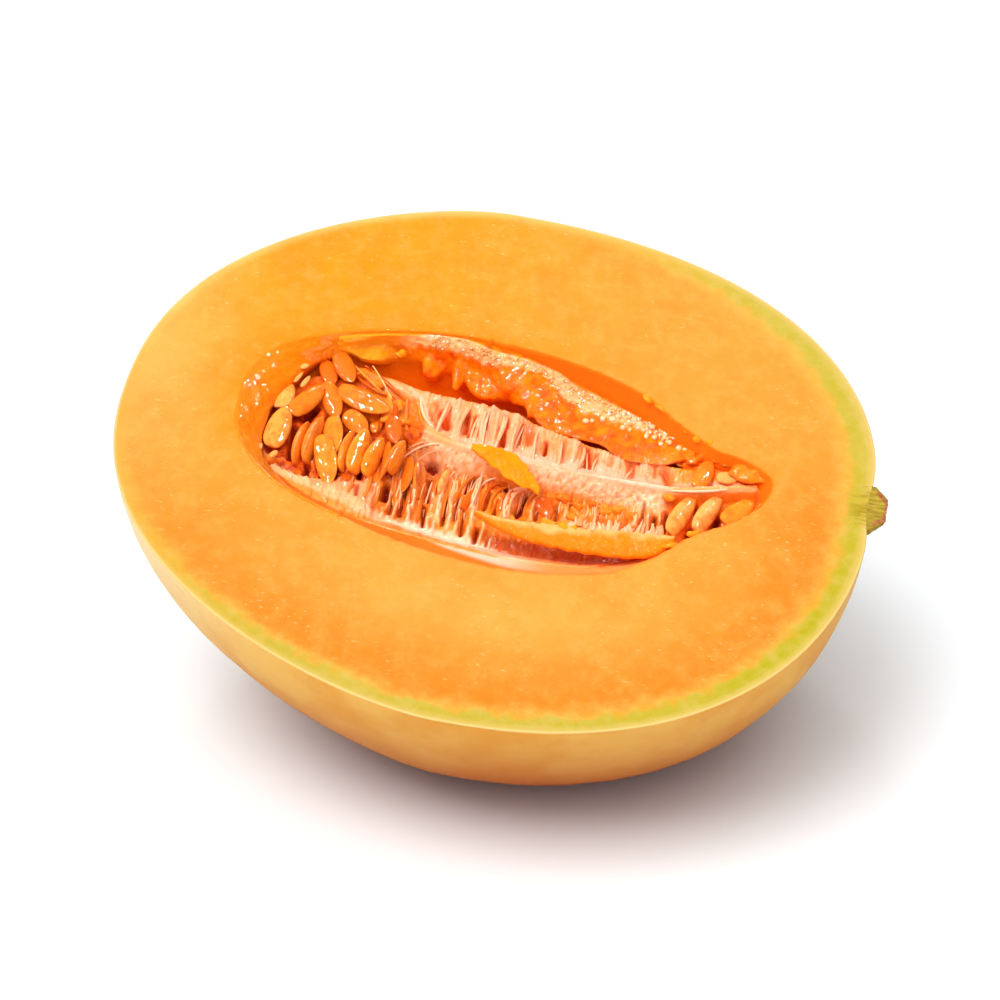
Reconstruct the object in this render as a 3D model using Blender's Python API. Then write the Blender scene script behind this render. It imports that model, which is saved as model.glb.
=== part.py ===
"""A ripe orange-fleshed melon cut in half lengthwise, lying on its rounded rind.

The fruit is modelled in its own axes, with the origin in the middle of the cut face:
u (X) runs along the fruit towards the stem, v (Y) across the cut face, away from the
side that lies lowest, and w (Z) is square to the cut face, pointing out of it. Depths
are given as positive distances below the cut face. An empty carries those axes to the
lying position: the face leans towards -Y, the stem end dips a little, and a small flat
spot rests on the floor under the middle of the object's box.
"""
import math

import bmesh
import bpy
import numpy as np
from mathutils import Euler, Vector

MM = 0.001

# The whole fruit
HALF_LENGTH = 85.0 * MM
FAR_HALF_WIDTH = 69.6 * MM
NEAR_HALF_WIDTH = 74.0 * MM
DEPTH = 74.0 * MM
FAR_WIDEST = -0.125          # where each side is widest, as a share of the half-length
NEAR_WIDEST = 0.026
DEEPEST = 0.003
BLOSSOM_POWER = 1.604        # a slimmer blossom end and a blunt stem end
STEM_POWER = 2.245
FULLNESS = 2.263

# How it lies
FACE_TILT = math.radians(24.07)
STEM_DIP = math.radians(6.15)
FLAT_SINK = 2.2 * MM         # how much of the round rind the flat resting spot takes off

# The seed cavity: its rim on the cut face, and how deep it falls from the rim inwards
RIM_CENTRE = (2.0, -2.0)     # mm
RIM_HALF = (60.0, 31.0)      # mm
RIM_POINTS = (               # mm along and across the face
    (62, 3.5), (56, 7.5), (48, 9.5), (40, 14.5), (30, 21.5), (18, 26), (0, 29), (-20, 28.5),
    (-38, 24.5), (-50, 19), (-57.5, 8), (-57.5, -3), (-53, -13.5), (-44, -21), (-28, -27.2),
    (-8, -32.2), (12, -33.2), (29, -30), (38, -24.5), (47, -15.5), (56, -9), (61.5, -2),
)
FAR_WALL = ((0, 0.55, 0.8, 0.93, 0.985, 1), (29, 26, 20, 12, 5, 0))     # reach, depth in mm
NEAR_WALL = ((0, 0.35, 0.55, 0.66, 0.86, 1), (29, 23, 15, 9.5, 4, 0))
END_WALL = ((0, 0.3, 0.6, 0.85, 0.94, 1), (29, 26, 19, 12, 6.8, 0))
GAP = 0.4 * MM               # clearance between pieces that touch

# The seed pulp, by lines that run along the fruit (u, value in mm)
RIB_LINE = ((-60, -20, -10, 0, 10, 25, 40, 48, 55, 62), (6, 5, 1.6, 0.8, -0.7, -1, -0.9, 0.6, 1.4, 1))
RIB_DEPTH = ((-60, -22, -15, 0, 20, 40, 50, 58), (9, 7.5, 5, 4.5, 4.2, 3.6, 2.4, 1.6))
EDGE_LINE = ((-60, -30, -20, 0, 10, 20, 28, 36, 48, 62), (19, 19.6, 17, 15.4, 12, 9.8, 8, 7.2, 5, 3))
EDGE_DEPTH = ((-60, -30, 0, 25, 40, 60), (8, 7, 7, 7.5, 6, 4))
DIP = 1.5                    # mm, how far it sinks between the rib and the back edge
HOLLOW_DEPTH = ((-60, -37, -31, -20, 5, 12, 20, 30, 38, 46, 60), (9, 9, 17, 24, 24, 20, 16, 14.5, 12, 5.5, 4.6))
TROUGH_DEPTH = ((-60, -40, -20, 0, 28, 40, 48, 62), (10, 11, 12.5, 13, 11, 7.2, 6.2, 5.4))
HEAP_DEPTH = 6.8             # mm, the bed under the heap of seeds at the blossom end
HEAP_END = (-27.0, -17.0)    # mm, where that bed gives way to the rib
HOLLOW_START = (-36.0, -30.0)  # mm, where the hollow behind the bed opens
RIB_FACE = 5.0               # mm, across the steep near side of the rib
HOLLOW_STEP = 3.4            # mm, across the drop behind the rib's back edge
PULP_REACH = (               # how far it reaches to the rim, by the angle over pi
    (0, 0.25, 0.5, 0.75, 1, 1.25, 1.5, 1.75, 2), (0.92, 0.87, 0.83, 0.87, 0.91, 0.8, 0.69, 0.8, 0.92))
PULP_EASE = 1.1              # mm, how far its sides keep off the cavity's wall
PULP_SKIN = 1.5              # mm, the least thickness of pulp over the flesh
PULP_STATIONS = ((-50.5, -28.0, 7), (-24.0, 40.0, 20), (43.5, 55.5, 4))      # mm, first, last and how many
TOP_STOPS = (0, 0.15, 0.5, 1, 1.35, 1.65, 2, 2.12, 2.35, 2.65, 2.9, 3, 3.5, 4, 5)    # between its six marks
UNDER_STOPS = (0.06, 0.2, 0.4, 0.6, 0.8, 0.94)       # shares of the way back along the wall

# Seeds: (along, across, depth) of the middle in mm, heading, pitch and roll in degrees,
# then length and width in mm
SEEDS = (
    (-49.2, -2.3, 5.4, 86, 4, 10, 11.6, 5.6),
    (-50.6, 7.4, 6.3, 85, 0, -10, 7.5, 4.6),
    (-45.0, 7.0, 5.6, 58, 6, 8, 10.4, 5.0),
    (-39.7, 8.6, 6.0, -60, 0, 24, 11.0, 4.8),
    (-32.3, 9.7, 5.2, -20, 2, -4, 13.6, 6.0),
    (-38.9, 17.8, 5.6, -56, 0, 6, 9.0, 4.4),
    (-42.3, 16.6, 6.4, -62, 0, 0, 7.5, 4.0),
    (-32.8, 3.8, 6.4, -38, 0, 16, 7.6, 4.8),
    (-23.9, 3.2, 6.4, -68, 0, 22, 7.8, 4.0),
    (-43.5, -4.6, 6.8, 88, 6, 70, 12.0, 4.6),
    (-40.9, -3.4, 6.3, 85, 6, 62, 13.0, 4.8),
    (-37.0, -1.8, 6.2, -79, -4, 28, 11.6, 5.2),
    (-36.7, -8.6, 5.8, -68, -9, 15, 12.8, 5.2),
    (-32.9, -4.4, 6.8, 88, 4, 70, 11.6, 4.6),
    (-30.0, -4.6, 6.0, 86, 6, 40, 12.2, 5.0),
    (-26.5, -5.2, 6.3, 80, 6, 52, 10.8, 4.7),
    (-23.9, -5.2, 6.9, -86, 0, 72, 10.4, 4.4),
    (-21.6, -3.8, 6.5, 80, 4, 52, 9.4, 4.3),
    (43.3, -6.6, 4.9, 68, -4, 24, 12.0, 4.8),
    (48.6, -6.0, 4.5, 76, -4, 30, 11.6, 4.6),
    (53.4, -4.2, 4.8, 42, 0, 10, 7.4, 4.6),
    (46.4, 3.1, 3.7, 86, 0, 14, 5.8, 4.2),
    (51.6, 4.6, 4.3, 10, 0, 0, 5.4, 3.8),
)
SEED_THICK = 0.44            # thickness as a share of the width
SEED_RINGS = (-0.42, -0.16, 0.14, 0.38)      # where its rings lie, as shares of its length
SEED_WIDTHS = (0.66, 1.0, 0.94, 0.52)        # how wide they are, as shares of its width

# Strands: stations along the fruit, in mm, and half their width
NEAR_STRANDS = (-17.5, -13.5, -9.0, -5.5, -1.5, 3.0, 7.5, 12.0, 17.5, 23.0, 28.5, 34.0)
COMB_STRANDS = (-14.0, -9.0, -4.0, -0.5, 3.5, 8.5, 14.0, 18.5)
STRAND_HALF = 1.1            # mm
STRAND_END = 0.5             # thickness at their ends, as a share of the middle's
STRAND_SINK = 0.5            # mm, how deep their ends lie in the pulp
NEAR_ARCH = (1.6, 1.2)       # mm, how far a strand's middle is raised and how far it sways
NEAR_FROM = (2.0, 1.5)       # mm, from the rib and from the pulp's near side
COMB_ARCH = (1.5, 0.5)
COMB_FROM = (0.6, 0.8)       # mm, from the rib and from its back edge

# Gel ridge that hangs on the far wall
RIDGE_SPAN = (-38.0, 38.5)   # mm
RIDGE_TOP = ((-40, -10, 0, 10, 20, 30, 40, 46), (1.4, 2.2, 4, 5.5, 8, 8, 5.5, 4))
RIDGE_LIP = (
    (-38, -31, -25, -20.5, -18, -15.3, -13.4, -11.5, -9, -5.5, 0, 4.5, 8, 13, 20, 27, 33, 44),
    (25.5, 25.6, 27.4, 27.2, 23.6, 26.6, 25.2, 22.8, 25.2, 23.0, 22.6, 21.4, 17.6, 14.6, 13.9, 11.6, 11.8, 11.2),
)
RIDGE_LIP_DEPTH = ((-38, -30, -18, -8, 0, 8, 20, 30, 44), (4.0, 6.5, 9.5, 11, 12, 10.4, 9.0, 7.8, 5.0))
RIDGE_THICK = 2.6            # mm at the lip
RIDGE_STATIONS = 40
RIDGE_OFF = (1.3, 1.8)       # mm, how far its back keeps off the wall, above and below
RIDGE_LEAST = 1.6            # mm, the least width of its underside
RIDGE_FOOT = 1.5             # mm, how far below the lip its back ends

# Two loose flaps of flesh over the pulp, and the stem
SHRED_PATH = ((-5.0, 0.6), (0.0, -0.9), (5.0, -3.2), (8.5, -5.2), (12.0, -7.6))      # mm
SHRED_HALF = (0.5, 1.7, 3.0, 2.0, 0.6)       # mm
SHRED_DEPTH = (2.2, 2.4, 2.8, 3.2, 3.9)      # mm
SHRED_THICK = 1.0
SHRED_LEAN = 0.25            # rise across its width
SLAB_PATH = ((-1.0, -16.9), (6.0, -19.0), (15.0, -19.8), (25.0, -19.6), (33.0, -19.6), (38.0, -20.0))
SLAB_HALF = (0.5, 1.4, 2.3, 2.9, 2.7, 1.6)
SLAB_DEPTH = (4.2, 4.0, 3.6, 3.2, 2.6, 2.1)
SLAB_THICK = 1.5
SLAB_LEAN = -0.3
FLAP_RING = ((-1, -0.1), (-0.6, -0.5), (0.6, -0.5), (1, -0.1), (0.6, 0.5), (-0.6, 0.5))   # across, down
STEM_SPAN = (81.0, 88.4)     # mm
STEM_MIDDLE = 0.6            # mm across the face
STEM_ROOT = 5.2              # mm, half its width inside the fruit
STEM_LEAVES = 85.3           # mm, where it leaves the rind
STEM_FLARE = 6.0             # mm, just outside the rind
STEM_TIP = 4.3
STEM_COLLAR = (0.9, 1.9)     # mm outside the rind, where it is widest and where it has narrowed
STEM_NECK = 0.5              # mm, how much wider than the tip it is there
STEM_RIB = 0.45              # mm, height of its lengthwise ribs
STEM_RIBS = 10               # ribs in a full turn
SOCKET_ABOVE = 2.0           # mm, how far the socket's cutter stands over the cut face
SOCKET_BEYOND = 4.0          # mm, and out of the rind

# How finely the shapes are divided
RINGS = 72                   # steps round the fruit
RIND_CLIMB = (9, 19, 29, 39, 49, 58, 67, 75, 82, 90)     # degrees up the rind to the cut edge
FACE_STOPS = (0.4, 0.75)     # shares of the way across the cut face
WALL_STOPS = (1, 0.97, 0.91, 0.82, 0.7, 0.56, 0.38, 0.19)        # shares of the rim's reach
LINE_POINTS = 241            # along a level line of the cavity
SEED_SIDES = 7
STRAND_SIDES = 5
STRAND_STATIONS = 5
STEM_SIDES = 13
SHARP_ANGLE = math.radians(38)


def smooth(x, knots, values):
    """A curve through the knots with no overshoot: a cubic between each pair, whose slope at
    a knot is the harmonic mean of the slopes on its two sides, or nought where they differ in sign."""
    k = np.asarray(knots, float)
    y = np.asarray(values, float)
    step = np.diff(k)
    rise = np.diff(y) / step
    same = rise[:-1] * rise[1:] > 0
    mean = np.where(same, 2 * rise[:-1] * rise[1:] / np.where(same, rise[:-1] + rise[1:], 1), 0)
    slope = np.concatenate([rise[:1], mean, rise[-1:]])
    i = np.clip(np.searchsorted(k, x) - 1, 0, len(k) - 2)
    s = np.clip((x - k[i]) / step[i], 0, 1)
    return (y[i] * (1 + 2 * s) * (1 - s) ** 2 + y[i + 1] * s * s * (3 - 2 * s)
            + slope[i] * step[i] * s * (1 - s) ** 2 - slope[i + 1] * step[i] * s * s * (1 - s))


def ease(x, start, end):
    """0 before start, 1 after end, and a soft step between them."""
    s = np.clip((x - start) / (end - start), 0, 1)
    return s * s * (3 - 2 * s)


def half_width(t, widest, size):
    """How far one side stands off the axis at t, a share of the half-length from -1 to 1."""
    behind = t < widest
    s = np.where(behind, (t - widest) / (1 + widest), (t - widest) / (1 - widest))
    power = np.where(behind, BLOSSOM_POWER, STEM_POWER)
    return size * np.clip(1 - np.abs(s) ** power, 0, 1) ** (1 / FULLNESS)


def rind_depth(u, v):
    """Depth of the rind below the cut face: each slice across the fruit is half an ellipse."""
    t = np.clip(u / HALF_LENGTH, -1, 1)
    far = half_width(t, FAR_WIDEST, FAR_HALF_WIDTH)
    near = half_width(t, NEAR_WIDEST, NEAR_HALF_WIDTH)
    across = (v - (far - near) / 2) / np.maximum((far + near) / 2, 1e-9)
    return half_width(t, DEEPEST, DEPTH) * np.sqrt(np.clip(1 - across ** 2, 0, 1))


def face_edge(angle):
    """The cut face's outline, by an angle that runs once round it."""
    t = np.cos(angle)
    far = half_width(t, FAR_WIDEST, FAR_HALF_WIDTH)
    near = half_width(t, NEAR_WIDEST, NEAR_HALF_WIDTH)
    return HALF_LENGTH * t, np.where(np.sin(angle) >= 0, far, -near)


def rim_reach(angle):
    """The rim's distance from its middle at an angle, as a share of the rim's half sizes."""
    p = (np.array(RIM_POINTS, float) - RIM_CENTRE) / RIM_HALF
    turn = np.arctan2(p[:, 1], p[:, 0]) % (2 * math.pi)
    order = np.argsort(turn)
    turn = turn[order]
    reach = np.hypot(p[:, 0], p[:, 1])[order]
    turn = np.concatenate([turn - 2 * math.pi, turn, turn + 2 * math.pi])
    return smooth(np.asarray(angle) % (2 * math.pi), turn, np.tile(reach, 3))


def in_cavity(angle, reach):
    """The point at a share of the way from the cavity's middle to its rim."""
    r = rim_reach(angle) * reach
    u = RIM_CENTRE[0] + RIM_HALF[0] * r * np.cos(angle)
    v = RIM_CENTRE[1] + RIM_HALF[1] * r * np.sin(angle)
    return u * MM, v * MM


def wall_depth(angle, reach):
    """Depth of the cavity's wall: steep on the far side, sloping on the near side and at the ends."""
    far = np.maximum(np.sin(angle), 0) ** 2
    near = np.maximum(-np.sin(angle), 0) ** 2
    ends = np.cos(angle) ** 2
    depth = far * smooth(reach, *FAR_WALL) + near * smooth(reach, *NEAR_WALL) + ends * smooth(reach, *END_WALL)
    return depth * MM


def cavity_depth(u, v):
    """Depth of the cavity's wall under a point of the cut face."""
    p = (u / MM - RIM_CENTRE[0]) / RIM_HALF[0]
    q = (v / MM - RIM_CENTRE[1]) / RIM_HALF[1]
    angle = np.arctan2(q, p)
    return wall_depth(angle, np.clip(np.hypot(p, q) / rim_reach(angle), 0, 1))


def level_across(u, far, reach=None):
    """Where a level line of the cavity crosses station u, on its far or near side. The line is at
    a share of the rim's reach, or else it is the outline of the pulp."""
    angle = np.linspace(0, math.pi, LINE_POINTS) * (1 if far else -1)
    if reach is None:
        reach = smooth(angle % (2 * math.pi) / math.pi, *PULP_REACH)
    a, b = in_cavity(angle, reach * np.ones_like(angle))
    return np.interp(u, a[::-1], b[::-1])


def pulp_floor(u, v):
    """Depth of the pulp's underside, which keeps clear of the cavity's wall all round."""
    e = PULP_EASE * MM
    around = [cavity_depth(u + a, v + b) for a, b in ((e, 0), (-e, 0), (0, e), (0, -e))]
    return np.min(around, axis=0) - GAP


def pulp_depth(u, v):
    """Depth of the pulp's upper side. Across each station it runs from the near trough up the
    steep near side of the rib, over the rib, along a shallow dip to the back edge, and down
    into the hollow. At the blossom end it gives way to a level bed for the heap of seeds."""
    x = u / MM
    y = v / MM
    rib = smooth(x, *RIB_LINE)
    edge = smooth(x, *EDGE_LINE)
    rib_depth = smooth(x, *RIB_DEPTH)
    edge_depth = smooth(x, *EDGE_DEPTH)
    between = np.clip((y - rib) / (edge - rib), 0, 1)
    depth = rib_depth + (edge_depth - rib_depth) * between + 4 * DIP * between * (1 - between)
    depth += (smooth(x, *HOLLOW_DEPTH) - depth) * ease(y, edge, edge + HOLLOW_STEP)
    depth += (smooth(x, *TROUGH_DEPTH) - depth) * ease(rib - y, 0, RIB_FACE)
    behind = ease(y, edge - 1, edge + HOLLOW_STEP) * ease(x, *HOLLOW_START)
    depth += (HEAP_DEPTH - depth) * ease(-x, -HEAP_END[1], -HEAP_END[0]) * (1 - behind)
    return np.minimum(depth * MM, pulp_floor(u, v) - PULP_SKIN * MM)


def make_object(name, mesh, material):
    """A shaded object of its own material, linked into the scene."""
    mesh.materials.append(material)
    mesh.shade_smooth()
    mesh.set_sharp_from_angle(angle=SHARP_ANGLE)
    made = bpy.data.objects.new(name, mesh)
    bpy.context.scene.collection.objects.link(made)
    return made


def food_material(name, colour, roughness):
    """A plain, slightly glossy food surface."""
    made = bpy.data.materials.new(name)
    made.use_nodes = True
    shader = made.node_tree.nodes["Principled BSDF"]
    shader.inputs["Base Color"].default_value = (*colour, 1)
    shader.inputs["Roughness"].default_value = roughness
    shader.inputs["Metallic"].default_value = 0
    return made


def mesh_from(name, points, faces):
    """A mesh with all its faces turned outwards."""
    mesh = bpy.data.meshes.new(name)
    mesh.from_pydata([tuple(p) for p in points], [], faces)
    work = bmesh.new()
    work.from_mesh(mesh)
    bmesh.ops.recalc_face_normals(work, faces=work.faces)
    work.to_mesh(mesh)
    work.free()
    return mesh


def loft(name, loops):
    """A closed body through a stack of closed loops, loops[station, point], with flat ends."""
    stations, count = loops.shape[:2]
    faces = []
    for i in range(stations - 1):
        for j in range(count):
            k = (j + 1) % count
            faces.append((i * count + j, i * count + k, (i + 1) * count + k, (i + 1) * count + j))
    faces.append(tuple(range(count))[::-1])
    faces.append(tuple(range((stations - 1) * count, stations * count)))
    return mesh_from(name, loops.reshape(-1, 3), faces)


def shell(name, start, rows, end):
    """A closed body through rings from one pole to the other, rows[ring, point]."""
    rings, count = rows.shape[:2]
    points = np.concatenate([[start], rows.reshape(-1, 3), [end]])
    last = rings * count + 1
    faces = []
    for j in range(count):
        k = (j + 1) % count
        faces.append((0, 1 + j, 1 + k))
        faces.append((last, last - count + k, last - count + j))
        for i in range(rings - 1):
            low = 1 + i * count
            faces.append((low + j, low + count + j, low + count + k, low + k))
    return mesh_from(name, points, faces)


def lying_axes():
    """The turn from the fruit's axes to the lying position."""
    return Euler((FACE_TILT, STEM_DIP, 0), "XYZ").to_matrix()


def melon_half(material):
    """Rind and flesh in one: up the rind from its deepest point, over the cut edge, across the
    face to the rim, and down the cavity's wall to its floor, with the flat spot cut off."""
    angle = np.linspace(0, 2 * math.pi, RINGS, endpoint=False)
    edge_u, edge_v = face_edge(angle)
    rim_u, rim_v = in_cavity(angle, np.ones(RINGS))
    rows = []
    for climb in np.radians(RIND_CLIMB):
        u, v = edge_u * math.sin(climb), edge_v * math.sin(climb)
        depth = rind_depth(u, v) if climb < math.pi / 2 else np.zeros(RINGS)
        rows.append(np.stack([u, v, -depth], 1))
    for share in FACE_STOPS:
        rows.append(np.stack([edge_u + (rim_u - edge_u) * share, edge_v + (rim_v - edge_v) * share,
                              np.zeros(RINGS)], 1))
    for reach in WALL_STOPS:
        u, v = in_cavity(angle, reach * np.ones(RINGS))
        rows.append(np.stack([u, v, -wall_depth(angle, reach)], 1))
    bottom = np.array([0, 0, -rind_depth(np.zeros(1), np.zeros(1))[0]])
    floor = np.array([RIM_CENTRE[0] * MM, RIM_CENTRE[1] * MM, -wall_depth(np.zeros(1), np.zeros(1))[0]])
    mesh = shell("melon_half", bottom, np.array(rows), floor)
    cut_flat_spot(mesh)
    return make_object("melon_half", mesh, material)


def cut_flat_spot(mesh):
    """Takes a thin cap off the rind, level with the floor once the fruit lies down."""
    down = lying_axes().transposed() @ Vector((0, 0, -1))
    lowest = max(v.co.dot(down) for v in mesh.vertices)
    work = bmesh.new()
    work.from_mesh(mesh)
    found = bmesh.ops.bisect_plane(work, geom=work.verts[:] + work.edges[:] + work.faces[:],
                                   plane_co=down * (lowest - FLAT_SINK), plane_no=down, clear_outer=True)
    rim = [e for e in found["geom_cut"] if isinstance(e, bmesh.types.BMEdge)]
    bmesh.ops.contextual_create(work, geom=rim)
    work.to_mesh(mesh)
    work.free()


def seed_shape(seed):
    """One seed: a flat almond, blunt at one end and pointed at the other, in rings of few sides."""
    u, v, depth, heading, pitch, roll, length, width = seed
    along = np.array(SEED_RINGS) * length
    share = np.array(SEED_WIDTHS) * width / 2
    turn = np.linspace(0, 2 * math.pi, SEED_SIDES, endpoint=False)
    rows = np.stack([along[:, None] + 0 * turn, share[:, None] * np.cos(turn),
                     share[:, None] * np.sin(turn) * SEED_THICK], 2)
    turned = np.array(Euler(np.radians((roll, -pitch, heading)), "XYZ").to_matrix())
    place = np.array((u, v, -depth))
    tips = np.array(((-length / 2, 0, 0), (length / 2, 0, 0))) @ turned.T + place
    return tips[0] * MM, (rows @ turned.T + place) * MM, tips[1] * MM


def strand(path):
    """A bar of few sides along a path, thin at both ends."""
    taper = STRAND_END + (1 - STRAND_END) * np.sin(np.linspace(0, math.pi, len(path)))
    turn = np.linspace(0, 2 * math.pi, STRAND_SIDES, endpoint=False) + math.pi / 2
    ahead = np.gradient(path, axis=0)
    ahead /= np.linalg.norm(ahead, axis=1)[:, None]
    side = np.cross(ahead, (0, 0, 1.0))
    side /= np.linalg.norm(side, axis=1)[:, None]
    up = np.cross(side, ahead)
    ring = side[:, None] * np.cos(turn)[None, :, None] + up[:, None] * np.sin(turn)[None, :, None]
    return (path[:, None] + ring * (STRAND_HALF * taper)[:, None, None]) * MM


def arched(u, start, end, arch, sway):
    """A strand from one place across the face to another, its ends in the pulp, its middle raised."""
    share = np.linspace(0, 1, STRAND_STATIONS)
    v = start + (end - start) * share
    ends = pulp_depth(u * MM * np.ones(2), v[[0, -1]] * MM) / MM + STRAND_SINK
    depth = ends[0] + (ends[1] - ends[0]) * share - 4 * arch * share * (1 - share)
    return strand(np.stack([u + sway * np.sin(3 * share + u), v, -depth], 1))


def near_strand(u):
    """A strand that arches from the near side of the rib down to the foot of the near wall."""
    foot = float(level_across(u * MM, False)) / MM
    return arched(u, smooth(u, *RIB_LINE) - NEAR_FROM[0], foot + NEAR_FROM[1], *NEAR_ARCH)


def comb_strand(u):
    """A strand across the dip between the rib and its back edge."""
    return arched(u, smooth(u, *RIB_LINE) + COMB_FROM[0], smooth(u, *EDGE_LINE) - COMB_FROM[1], *COMB_ARCH)


def in_order(marks, least):
    """The marks between the first and the last, moved so that each comes a step after the one before."""
    for i in range(1, len(marks) - 1):
        marks[i] = max(marks[i], marks[i - 1] + least)
    for i in range(len(marks) - 2, 0, -1):
        marks[i] = min(marks[i], marks[i + 1] - least)
    return marks


def pulp_core():
    """The pulp without its seeds and strands: slices across the cavity, from its near side over
    the top to its far side, and back along the cavity's wall."""
    loops = []
    for x in np.concatenate([np.linspace(*run) for run in PULP_STATIONS]):
        u = x * MM
        near = level_across(u, False)
        far = level_across(u, True)
        rib = smooth(x, *RIB_LINE) * MM
        edge = smooth(x, *EDGE_LINE) * MM
        marks = [near, rib - RIB_FACE * MM, rib, edge, edge + HOLLOW_STEP * MM, far]
        marks = in_order(marks, (far - near) / (2 * len(marks)))
        top = np.interp(TOP_STOPS, np.arange(len(marks)), marks)
        under = far + (near - far) * np.array(UNDER_STOPS)
        over = np.stack([u + 0 * top, top, -pulp_depth(u + 0 * top, top)], 1)
        below = np.stack([u + 0 * under, under, -pulp_floor(u + 0 * under, under)], 1)
        loops.append(np.concatenate([over, below]))
    return loft("seed_pulp", np.array(loops))


def fuse(base, pieces):
    """Joins the pieces onto the base body with one union and removes them."""
    group = bpy.data.collections.new("to_fuse")
    bpy.context.scene.collection.children.link(group)
    for i, mesh in enumerate(pieces):
        group.objects.link(bpy.data.objects.new(f"piece_{i}", mesh))
    union = base.modifiers.new("union", "BOOLEAN")
    union.operation = "UNION"
    union.solver = "EXACT"
    union.operand_type = "COLLECTION"
    union.collection = group
    bpy.context.view_layer.update()
    joined = bpy.data.meshes.new_from_object(base.evaluated_get(bpy.context.evaluated_depsgraph_get()))
    base.modifiers.clear()
    base.data = joined
    for piece in list(group.objects):
        bpy.data.objects.remove(piece)
    bpy.data.collections.remove(group)


def seed_pulp(material):
    """The stringy seed pulp in the cavity, with its seeds and strands fused on."""
    made = make_object("seed_pulp", pulp_core(), material)
    pieces = [shell("seed", *seed_shape(seed)) for seed in SEEDS]
    pieces += [loft("strand", near_strand(u)) for u in NEAR_STRANDS]
    pieces += [loft("strand", comb_strand(u)) for u in COMB_STRANDS]
    fuse(made, pieces)
    return made


def ridge_section(x):
    """The ridge's outline at station x: from the wall out over its top, along its upper side to the
    lip, round the lip, and back underneath to the wall."""
    top = smooth(x, *RIDGE_TOP)
    lip = smooth(x, *RIDGE_LIP)
    low = smooth(x, *RIDGE_LIP_DEPTH)
    reach = np.interp((top, low + RIDGE_FOOT), FAR_WALL[1][::-1], FAR_WALL[0][::-1])
    upper = level_across(x * MM, True, reach[0]) / MM - RIDGE_OFF[0]
    lower = level_across(x * MM, True, reach[1]) / MM - RIDGE_OFF[1]
    lip = min(lip, lower - RIDGE_LEAST)
    out = upper - lip
    fall = low - top
    under = lower - lip
    return (
        (upper, top), (upper - 0.25 * out, top + 0.1 * fall), (lip + 0.35 * out, top + 0.5 * fall),
        (lip + 0.1, low - 1.0), (lip, low + 0.3),
        (lip + 0.25 * under, low + 0.6 * RIDGE_THICK), (lip + 0.65 * under, low + 0.65 * RIDGE_THICK),
        (lower, low + RIDGE_FOOT), ((upper + lower) / 2 + 0.35, top + 0.5 * fall + 0.6),
    )


def gel_ridge(material):
    """The band of wet gel along the far wall, whose lobed lip hangs over the hollow."""
    stations = np.linspace(*RIDGE_SPAN, RIDGE_STATIONS)
    loops = [[(x, v, -depth) for v, depth in ridge_section(x)] for x in stations]
    return make_object("gel_ridge", loft("gel_ridge", np.array(loops) * MM), material)


def flap(name, path, half, depth, thick, lean, material):
    """A thin tongue of flesh along a path, wide in the middle, its far edge leaning up or down."""
    middle = np.array(path, float)
    station = np.arange(len(middle))
    fine = np.linspace(0, len(middle) - 1, 3 * len(middle) - 2)
    u, v = smooth(fine, station, middle[:, 0]), smooth(fine, station, middle[:, 1])
    width, low = smooth(fine, station, half), smooth(fine, station, depth)
    loops = [np.stack([u, v + width * a, -low + lean * a * width - thick * b], 1) for a, b in FLAP_RING]
    return make_object(name, loft(name, np.stack(loops, 1) * MM), material)


def stem_loops(grow):
    """Half of a ribbed stem below the cut face, as loops along the fruit; grow makes it fatter."""
    turn = np.linspace(math.pi, 2 * math.pi, STEM_SIDES)
    ribs = STEM_RIB * np.cos(turn * STEM_RIBS)
    widest, narrowed = STEM_LEAVES + STEM_COLLAR[0], STEM_LEAVES + STEM_COLLAR[1]
    loops = []
    for x, radius in ((STEM_SPAN[0], STEM_ROOT), (STEM_LEAVES, STEM_ROOT), (widest, STEM_FLARE),
                      (narrowed, STEM_TIP + STEM_NECK), (STEM_SPAN[1], STEM_TIP)):
        r = radius + (ribs if x > STEM_LEAVES else 0 * ribs) + grow
        loops.append(np.stack([x + 0 * r, STEM_MIDDLE + r * np.cos(turn), r * np.sin(turn)], 1))
    return np.array(loops) * MM


def stem(material):
    """The stub of the stem, cut lengthwise with the fruit."""
    return make_object("stem", loft("stem", stem_loops(0)), material)


def cut_stem_socket(body):
    """Opens a socket for the stem's root in the flesh, with clearance all round."""
    loops = stem_loops(GAP / MM)[:2]
    loops = np.concatenate([loops, loops[1:] + (SOCKET_BEYOND * MM, 0, 0)])
    loops[0, :, 0] -= GAP
    loops[:, (0, -1), 2] = SOCKET_ABOVE * MM
    cutter = bpy.data.objects.new("stem_socket", loft("stem_socket", loops))
    bpy.context.scene.collection.objects.link(cutter)
    cutter.hide_render = True
    cutter.display_type = "WIRE"
    cut = body.modifiers.new("stem_socket", "BOOLEAN")
    cut.object = cutter
    cut.solver = "EXACT"
    return cutter


def lay_down(parts, carried):
    """Parents everything to the fruit's axes and lays them down on the middle of the floor."""
    axes = lying_axes()
    points = np.concatenate([np.array([v.co for v in part.data.vertices]) for part in parts]) @ np.array(axes).T
    low, high = points.min(0), points.max(0)
    carrier = bpy.data.objects.new("melon_axes", None)
    bpy.context.scene.collection.objects.link(carrier)
    carrier.rotation_euler = (FACE_TILT, STEM_DIP, 0)
    carrier.location = (-(low[0] + high[0]) / 2, -(low[1] + high[1]) / 2, -low[2])
    for part in parts + carried:
        part.parent = carrier


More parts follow.
